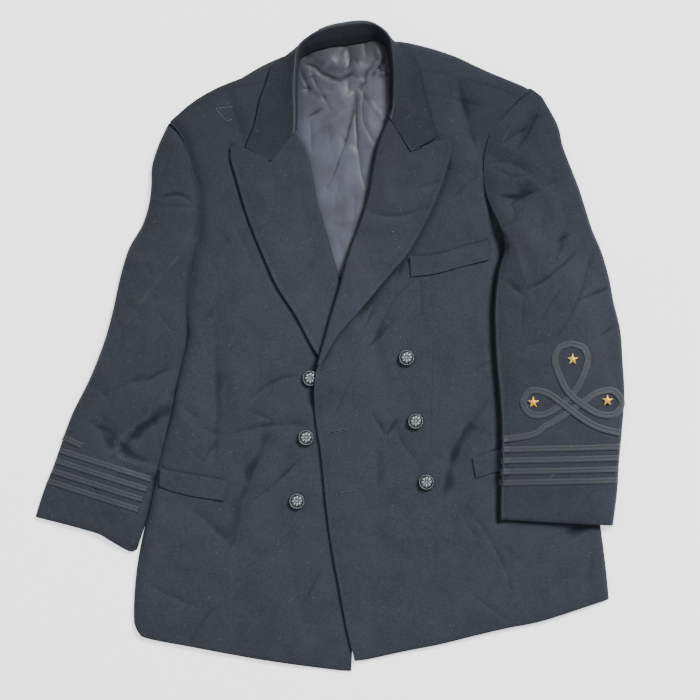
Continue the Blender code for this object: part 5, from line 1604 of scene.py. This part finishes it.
def sleeve_rows(armhole, inner, outer, turned, mirrored):
    """The sections of a sleeve: its armhole and inner edge on one side and its outer edge on the other."""
    free = np.interp(range(len(SLEEVE_LOFT)), turned, (0, 1))
    rows = []
    for far, near, loft, turn in zip(outer, (*armhole, *inner), SLEEVE_LOFT, free):
        near_edge, far_edge = (*near, loft[0], turn), (*far, loft[1], 1)
        rows.append((*far_edge, *near_edge, loft[2]) if mirrored else (*near_edge, *far_edge, loft[2]))
    return rows


def build_right_sleeve():
    """The right sleeve, beside the body: its inner edge follows the front's side."""
    size = sizes()
    armhole = [(row[0] + TUCK, row[1]) for row in RIGHT_FRONT[:9]]
    armhole[0] = (armhole[0][0], armhole[0][1] + 2 * TUCK)
    side = smooth_rows(RIGHT_FRONT, STEPS)[::-1, :2]
    inner = [(np.interp(y, side[:, 1], side[:, 0]) + TUCK, y) for _, y in RIGHT_SLEEVE_INNER]
    rows = sleeve_rows(armhole, inner, RIGHT_SLEEVE_OUTER, (7, 9), True)
    under = flat_panel(under_rows(rows), size["wall"])
    sheet("right_sleeve_under", under, "wool_sleeve_shaded", size["wall"])
    top = panel(rows, MAP.under(["right_sleeve_under"]), size["wall"], bottom=smooth_rows(RIGHT_CUFF),
                folds=RIGHT_SLEEVE_FOLDS, hem_drop=HEM_DROP, cell=size["sleeve_cell"], dips=(0.0, 3.8),
                seed=11)
    sheet("right_sleeve_top", top, "wool_sleeve_shaded", size["wall"])


def build_left_sleeve():
    """The left sleeve, which lies over the left front and its pocket welt."""
    size = sizes()
    wall = size["wall"]
    armhole = [(row[4] - TUCK, row[5]) for row in LEFT_FRONT[:6]]
    armhole[0] = (armhole[0][0], armhole[0][1] + 2 * TUCK)
    rows = sleeve_rows(armhole, LEFT_SLEEVE_INNER, LEFT_SLEEVE_OUTER, (6, 7), False)
    armpit = LEFT_SLEEVE_INNER[0][1] - ROLL / 2
    body = spread(MAP.under(["left_front", "left_hip_pocket_welt"], below=armpit), MAP_STEP, np.max)
    inset = flat_panel(under_rows(rows), wall, cell=6.0)
    lying = MAP.read(bridged(body, BRIDGE), inset[..., 0], inset[..., 1])
    inset[..., 2] = np.where(lying > BODY_STARTS, lying + GAP + wall, wall)
    under = lay(inset, body, wall)
    sheet("left_sleeve_under", under, "wool_sleeve_shaded", wall)
    floor = np.maximum(MAP.under(["left_sleeve_under"]), body)
    top = panel(rows, floor, wall, top=smooth_rows(LEFT_SLEEVE_HEAD), bottom=smooth_rows(LEFT_CUFF),
                folds=LEFT_SLEEVE_FOLDS, hem_drop=HEM_DROP, cell=size["sleeve_cell"], dips=(0.9, 0.0),
                seed=13)
    sheet("left_sleeve_top", top, "wool_sleeve_shaded", wall)


def build_braid():
    """The stripes of both cuffs, the right cuff's tail and the left cuff's trefoil knot."""
    size = sizes()
    width, wall = size["braid_width"], size["braid_wall"]
    stripes("right", *RIGHT_STRIPES, width, wall)
    stripes("left", *LEFT_STRIPES, width, wall)
    tail = along(RIGHT_TAIL, np.linspace(0, 1, TAIL_ROWS))
    braid("right_cuff_braid_tail", tail, "right_sleeve_top", width, wall)
    half = smooth_rows(KNOT, KNOT_STEPS)
    right_half = np.column_stack([KNOT_CENTRE + half[:, 0], half[:, 1], half[:, 2]])
    wide = np.interp(half[:, 1], WIDER_BETWEEN, (WIDER_LOOP, 1))
    left_half = np.column_stack([KNOT_CENTRE - half[:, 0] * wide, half[:, 1], half[:, 3]])
    left_half = left_half[:-2 * KNOT_STEPS]
    tail = np.vstack([left_half[-KNOT_STEPS - 1, :2], left_half[-1, :2], LONG_TAIL])
    tail = smooth_rows(tail, LONG_TAIL_STEPS)[LONG_TAIL_STEPS:]
    tail = np.column_stack([tail, np.zeros(len(tail))])
    path = np.vstack([tail[:0:-1], left_half[:0:-1], right_half])
    braid("left_cuff_braid_knot", path[:, :2], "left_sleeve_top", KNOT_WIDTH, wall, path[:, 2].clip(0, 1))


def build_stars():
    """Three raised stars in the loops of the knot."""
    radius = sizes()["star_radius"]
    half_step = math.pi / STAR_POINTS
    for index, (x, y) in enumerate(STARS):
        base = seat(x, y, radius, ["left_sleeve_top"])
        star = bmesh.new()
        bmesh.ops.create_cone(star, cap_ends=True, segments=2 * STAR_POINTS, radius1=radius * MM, radius2=0,
                              depth=(STAR_HEIGHT - STAR_BASE) * MM)
        for vertex in star.verts:
            ring = math.floor(math.atan2(vertex.co.y, vertex.co.x) / half_step)
            if vertex.co.z < 0 and ring % 2 == 0:
                vertex.co.x *= STAR_INNER
                vertex.co.y *= STAR_INNER
        bottom = [face for face in star.faces if len(face.verts) > 3]
        for vertex in bmesh.ops.extrude_face_region(star, geom=bottom)["geom"]:
            if isinstance(vertex, bmesh.types.BMVert):
                vertex.co.z -= STAR_BASE * MM
        bmesh.ops.delete(star, geom=bottom, context="FACES")
        mesh = bpy.data.meshes.new(f"cuff_star_{index + 1}_metal")
        star.to_mesh(mesh)
        star.free()
        made = put(f"cuff_star_{index + 1}_metal", mesh, "gilt", f"cuff_star_{index + 1}")
        made.location = (x * MM, y * MM, (base + (STAR_HEIGHT + STAR_BASE) / 2) * MM)
        made.rotation_euler = (0, 0, half_step)
        bevel = made.modifiers.new("rim", "BEVEL")
        bevel.width = STAR_RIM * MM
        bevel.segments = 2


def build_buttonholes():
    """Keyhole buttonholes: purl stitches side by side round a slit that ends in an eye, with a near-black
    thread in the slit and a dark disc in the eye as painted shade.
    """
    shell, slit = bmesh.new(), bmesh.new()
    top = MAP.under(["left_front"])
    for x0, y0, x1, y1 in BUTTONHOLES:
        start, end = np.array((x0, y0)), np.array((x1, y1))
        length = np.linalg.norm(end - start)
        forward = (end - start) / length
        side = np.array((-forward[1], forward[0]))
        purls = []
        for turn in np.linspace(*EYE_ARC, EYE_PURLS):
            east, north = math.cos(math.tau * turn), math.sin(math.tau * turn)
            purls.append((start + forward * EYE_RADIUS * east, forward * east + side * north))
        for step in np.arange(PURL_START, length, PURL_STEP):
            purls.append((start + forward * step, side))
            purls.append((start + forward * step, -side))
        for spot, out in purls:
            near, far = (spot + out * reach for reach in PURL_REACH)
            heights = MAP.read(top, np.array((near[0], far[0])), np.array((near[1], far[1])))
            low, high = heights + PURL_RISE[0], heights.mean() + PURL_RISE[1]
            strand(shell, [(*near, low[0]), (*(near + far) / 2, high), (*far, low[1])], PURL_RADIUS)
        for shift in BARS:
            tack = end + forward * BAR_RADIUS + side * shift
            bar = [tack + side * reach for reach in (-BAR_HALF, 0.0, BAR_HALF)]
            strand(shell, [(*at, MAP.read(top, at[:1], at[1:])[0] + BAR_RADIUS) for at in bar], BAR_RADIUS)
        # Painted shade: a near-black thread along the slit and a flat dark disc in the eye
        cut = [start + forward * step for step in np.linspace(0, length, SLIT_POINTS)]
        strand(slit, [(*at, MAP.read(top, at[:1], at[1:])[0] - SLIT_DEPTH) for at in cut], SLIT_RADIUS)
        wide, flat, high = EYE_SHADE_DISC
        eye = bmesh.ops.create_uvsphere(slit, u_segments=12, v_segments=6, radius=wide * MM)["verts"]
        rest = MAP.read(top, start[:1], start[1:])[0]
        for vertex in eye:
            vertex.co.z = vertex.co.z * flat + (rest + high) * MM
            vertex.co.x += start[0] * MM
            vertex.co.y += start[1] * MM
    finish_mesh(shell, "buttonhole_purl", "twist")
    finish_mesh(slit, "buttonhole_slit_shade", "slit")


def build_sewing():
    """Darts and pocket ends: a line of sewing sunk in the cloth, drawn near black as painted shadow in the
    seam.
    """
    shell = bmesh.new()
    for carrier, line in SEWING:
        top = MAP.under([carrier])
        run = smooth_rows(line, SEWING_STEPS)
        height = MAP.read(top, run[:, 0], run[:, 1])
        strand(shell, np.column_stack([run, height - SEWING_DEPTH]), SEWING_RADIUS, 6)
    finish_mesh(shell, "dart_seam_shadow", "sewing")


def fibre(shell, top, x, y, chance, lengths, radius):
    """One short curved fibre lying on the cloth."""
    length, angle = chance.uniform(*lengths), chance.uniform(0, math.tau)
    share = np.linspace(-0.5, 0.5, 5)
    off = chance.uniform(-FIBRE_BEND, FIBRE_BEND) * np.sin(np.pi * (share + 0.5))
    east = x + length * share * math.cos(angle) - off * math.sin(angle)
    north = y + length * share * math.sin(angle) + off * math.cos(angle)
    strand(shell, np.column_stack([east, north, MAP.read(top, east, north) + FIBRE_LIFT]), radius, 4)


def build_lint():
    """Lint, loose fibres and one loose thread, lying on the cloth."""
    shell = bmesh.new()
    chance = np.random.default_rng(17)
    for carrier, x, y in LINT:
        fibre(shell, MAP.under([carrier]), x, y, chance, *SPECK)
    bare = [name for name in MAP.tops if name not in ("back_lining", *WELTS) and "button" not in name]
    wool, lining = MAP.under(bare), MAP.tops["back_lining"]
    east, north = LINT_REACH * np.array(((0, 1, -1, 0, 0), (0, 0, 0, 1, -1)))
    laid = 0
    while laid < FIBRES:
        x, y = (chance.uniform(*side) for side in LINT_FIELD)
        around = MAP.read(wool, x + east, y + north)
        level = around.min() > LINT_LOWEST and np.ptp(around) < LINT_SLOPE
        if level and around[0] > MAP.read(lining, np.array([x]), np.array([y]))[0]:
            fibre(shell, wool, x, y, chance, *FIBRE)
            laid += 1
    run = smooth_rows(LOOSE_THREAD, 8)
    height = MAP.read(MAP.under(["right_front"]), run[:, 0], run[:, 1]) + THREAD_LIFT
    strand(shell, np.column_stack([run, height]), THREAD_RADIUS)
    finish_mesh(shell, "lint_threads", "lint")


def build_stage():
    """The paper under the jacket, the camera above it, the lamps and the room's light."""
    props = bpy.context.scene.jacket_sizes
    bpy.ops.mesh.primitive_plane_add(size=FLOOR_SIZE, location=(0, 0, -FLOOR_DROP))
    floor = bpy.context.object
    floor.name = "floor"
    floor.data.materials.append(seamless_paper())
    camera_data = bpy.data.cameras.new("overhead_camera")
    camera_data.lens = CAMERA_LENS
    camera_data.sensor_width = CAMERA_SENSOR
    camera = bpy.data.objects.new("overhead_camera", camera_data)
    camera.location = (*CAMERA_CENTRE, CAMERA_HEIGHT)
    bpy.context.scene.collection.objects.link(camera)
    bpy.context.scene.camera = camera
    for name, spot, width, power in LIGHTS:
        light_data = bpy.data.lights.new(name, "AREA")
        light_data.shape = "SQUARE"
        light_data.size = width
        light_data.energy = power * props.light_level
        light = bpy.data.objects.new(name, light_data)
        light.location = spot
        light.rotation_euler = (-light.location).to_track_quat("-Z", "Y").to_euler()
        bpy.context.scene.collection.objects.link(light)
    world = bpy.data.worlds.new("pale_room")
    world.use_nodes = True
    background = world.node_tree.nodes["Background"]
    background.inputs["Color"].default_value = linear(ROOM_COLOUR)
    background.inputs["Strength"].default_value = ROOM_LIGHT
    bpy.context.scene.world = world


def colour(name, value):
    """A colour that a user can change."""
    return FloatVectorProperty(name=name, description="One of the two tones that its finish mixes", size=4,
                               default=linear(value), min=0.0, max=1.0, subtype="COLOR")


class JacketColours(bpy.types.PropertyGroup):
    wool: colour("Wool", "#2a2c33")
    wool_pale: colour("Wool, pale", "#2f3139")
    # Sleeves: darker than the fronts, as painted shade for the lesser light on them
    wool_sleeve_shaded: colour("Sleeves", "#282a31")
    wool_sleeve_shaded_pale: colour("Sleeves, pale", "#2c2f37")
    wool_lapel: colour("Lapels", "#2c2d35")
    wool_lapel_pale: colour("Lapels, pale", "#31333c")
    wool_collar: colour("Collar", "#23262c")
    wool_collar_pale: colour("Collar, pale", "#282a31")
    lining: colour("Lining", "#3a3b46")
    lining_pale: colour("Lining, pale", "#494a58")
    braid: colour("Braid", "#23262c")
    braid_pale: colour("Braid, pale", "#2b2e35")
    button: colour("Buttons", "#1b1e21")
    button_pale: colour("Buttons, pale", "#9aa0a5")
    gilt: colour("Stars", "#d99b28")
    gilt_pale: colour("Stars, pale", "#f2cb62")
    twist: colour("Buttonholes", "#2c3340")
    twist_pale: colour("Buttonholes, pale", "#454e5e")
    # Sewing: near black, as painted shadow in the seams
    sewing: colour("Sewing", "#0d0f12")
    sewing_pale: colour("Sewing, pale", "#15171c")
    # Slits and eyes: near black, as painted shade in the buttonholes
    slit: colour("Slits", "#060708")
    slit_pale: colour("Slits, pale", "#0d0e10")
    lint: colour("Lint", "#575c63")
    lint_pale: colour("Lint, pale", "#7d8289")
    paper: colour("Paper", "#f3f4f5")
    paper_pale: colour("Paper, pale", "#fbfbfa")


def length(name, description, default, low, high):
    """A length that a user can change, in metres."""
    return FloatProperty(name=name, description=description, default=default, min=low, max=high,
                         unit="LENGTH")


class JacketSizes(bpy.types.PropertyGroup):
    wall: length("Cloth thickness", "Wool with its interlining", 0.0026, 0.001, 0.004)
    lining_wall: length("Lining thickness", "Lining with its seams", 0.0012, 0.0005, 0.002)
    lapel_wall: length("Lapel thickness", "Pressed lapels", 0.0019, 0.001, 0.003)
    welt_wall: length("Welt thickness", "Pocket welts", 0.0012, 0.001, 0.003)
    braid_wall: length("Braid thickness", "Cuff braid", 0.0009, 0.0005, 0.002)
    braid_width: length("Braid width", "Cuff braid", 0.0074, 0.004, 0.012)
    button_radius: length("Button radius", "Metal buttons", 0.0095, 0.007, 0.0125)
    star_radius: length("Star radius", "Gilt stars", 0.0072, 0.004, 0.01)
    cell: length("Body grid", "Width of a grid cell on the fronts", 0.0022, 0.0018, 0.02)
    sleeve_cell: length("Sleeve grid", "Width of a grid cell on the sleeves", 0.0021, 0.0018, 0.02)
    petals: IntProperty(name="Petals", description="Petals of the flower on each button", default=PETALS,
                        min=4, max=16)
    light_level: FloatProperty(name="Light level", description="All lamps together", default=1.0, min=0.1,
                               max=5.0, subtype="FACTOR")


class JACKET_OT_stage(bpy.types.Operator):
    """Pale paper floor, soft lamps and a camera straight above the jacket"""
    bl_idname = "jacket.stage"
    bl_label = "Stage"

    def execute(self, context):
        build_stage()
        return {"FINISHED"}


class JACKET_OT_backs(bpy.types.Operator):
    """Two backs, flat on the table, rolled up over the shoulders"""
    bl_idname = "jacket.backs"
    bl_label = "Backs"

    def execute(self, context):
        build_backs()
        return {"FINISHED"}


class JACKET_OT_lining(bpy.types.Operator):
    """Wrinkled lining inside the neck"""
    bl_idname = "jacket.lining"
    bl_label = "Lining"

    def execute(self, context):
        build_lining()
        return {"FINISHED"}


class JACKET_OT_right_front(bpy.types.Operator):
    """Right front with its lapel, and its row of buttons"""
    bl_idname = "jacket.right_front"
    bl_label = "Right front"

    def execute(self, context):
        build_right_front()
        for node, x, y in RIGHT_BUTTONS:
            button(node, x, y, sizes()["button_radius"], context.scene.jacket_sizes.petals)
        return {"FINISHED"}


class JACKET_OT_left_front(bpy.types.Operator):
    """Left front with its lapel, lapped over the right, and its row of buttons"""
    bl_idname = "jacket.left_front"
    bl_label = "Left front"

    def execute(self, context):
        build_left_front()
        for node, x, y in LEFT_BUTTONS:
            button(node, x, y, sizes()["button_radius"], context.scene.jacket_sizes.petals)
        return {"FINISHED"}


class JACKET_OT_collar(bpy.types.Operator):
    """Collar, with its fall, roll and stand"""
    bl_idname = "jacket.collar"
    bl_label = "Collar"

    def execute(self, context):
        build_collar()
        return {"FINISHED"}


class JACKET_OT_welts(bpy.types.Operator):
    """Breast and hip pocket welts"""
    bl_idname = "jacket.welts"
    bl_label = "Pocket welts"

    def execute(self, context):
        build_welts()
        return {"FINISHED"}


class JACKET_OT_sleeves(bpy.types.Operator):
    """Both sleeves, each with its under and top half"""
    bl_idname = "jacket.sleeves"
    bl_label = "Sleeves"

    def execute(self, context):
        build_right_sleeve()
        build_left_sleeve()
        return {"FINISHED"}


class JACKET_OT_braid(bpy.types.Operator):
    """Cuff stripes, braid knot and gilt stars"""
    bl_idname = "jacket.braid"
    bl_label = "Cuff braid"

    def execute(self, context):
        build_braid()
        build_stars()
        return {"FINISHED"}


class JACKET_OT_sewing(bpy.types.Operator):
    """Buttonholes, darts, lint and a loose thread"""
    bl_idname = "jacket.sewing"
    bl_label = "Sewing and lint"

    def execute(self, context):
        build_buttonholes()
        build_sewing()
        build_lint()
        return {"FINISHED"}


OPERATORS = (
    JACKET_OT_stage, JACKET_OT_backs, JACKET_OT_lining, JACKET_OT_right_front, JACKET_OT_left_front,
    JACKET_OT_collar, JACKET_OT_welts, JACKET_OT_sleeves, JACKET_OT_braid, JACKET_OT_sewing,
)


class JACKET_PT_panel(bpy.types.Panel):
    """Sizes, colours and steps of the jacket"""
    bl_label = "Dress Jacket"
    bl_idname = "JACKET_PT_panel"
    bl_space_type = "VIEW_3D"
    bl_region_type = "UI"
    bl_category = "Jacket"

    def draw(self, context):
        for props in (context.scene.jacket_sizes, context.scene.jacket_colours):
            for name in props.__annotations__:
                self.layout.prop(props, name)
        for operator in OPERATORS:
            self.layout.operator(operator.bl_idname)


CLASSES = (JacketColours, JacketSizes, *OPERATORS, JACKET_PT_panel)


def register():
    for each in CLASSES:
        bpy.utils.register_class(each)
    bpy.types.Scene.jacket_sizes = PointerProperty(type=JacketSizes)
    bpy.types.Scene.jacket_colours = PointerProperty(type=JacketColours)


def unregister():
    del bpy.types.Scene.jacket_colours
    del bpy.types.Scene.jacket_sizes
    for each in reversed(CLASSES):
        bpy.utils.unregister_class(each)


def main():
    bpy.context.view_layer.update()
    register()
    bpy.ops.jacket.stage()
    bpy.ops.jacket.backs()
    bpy.ops.jacket.lining()
    bpy.ops.jacket.right_front()
    bpy.ops.jacket.left_front()
    bpy.ops.jacket.collar()
    bpy.ops.jacket.welts()
    bpy.ops.jacket.sleeves()
    bpy.ops.jacket.braid()
    bpy.ops.jacket.sewing()


if __name__ == "__main__":
    main()
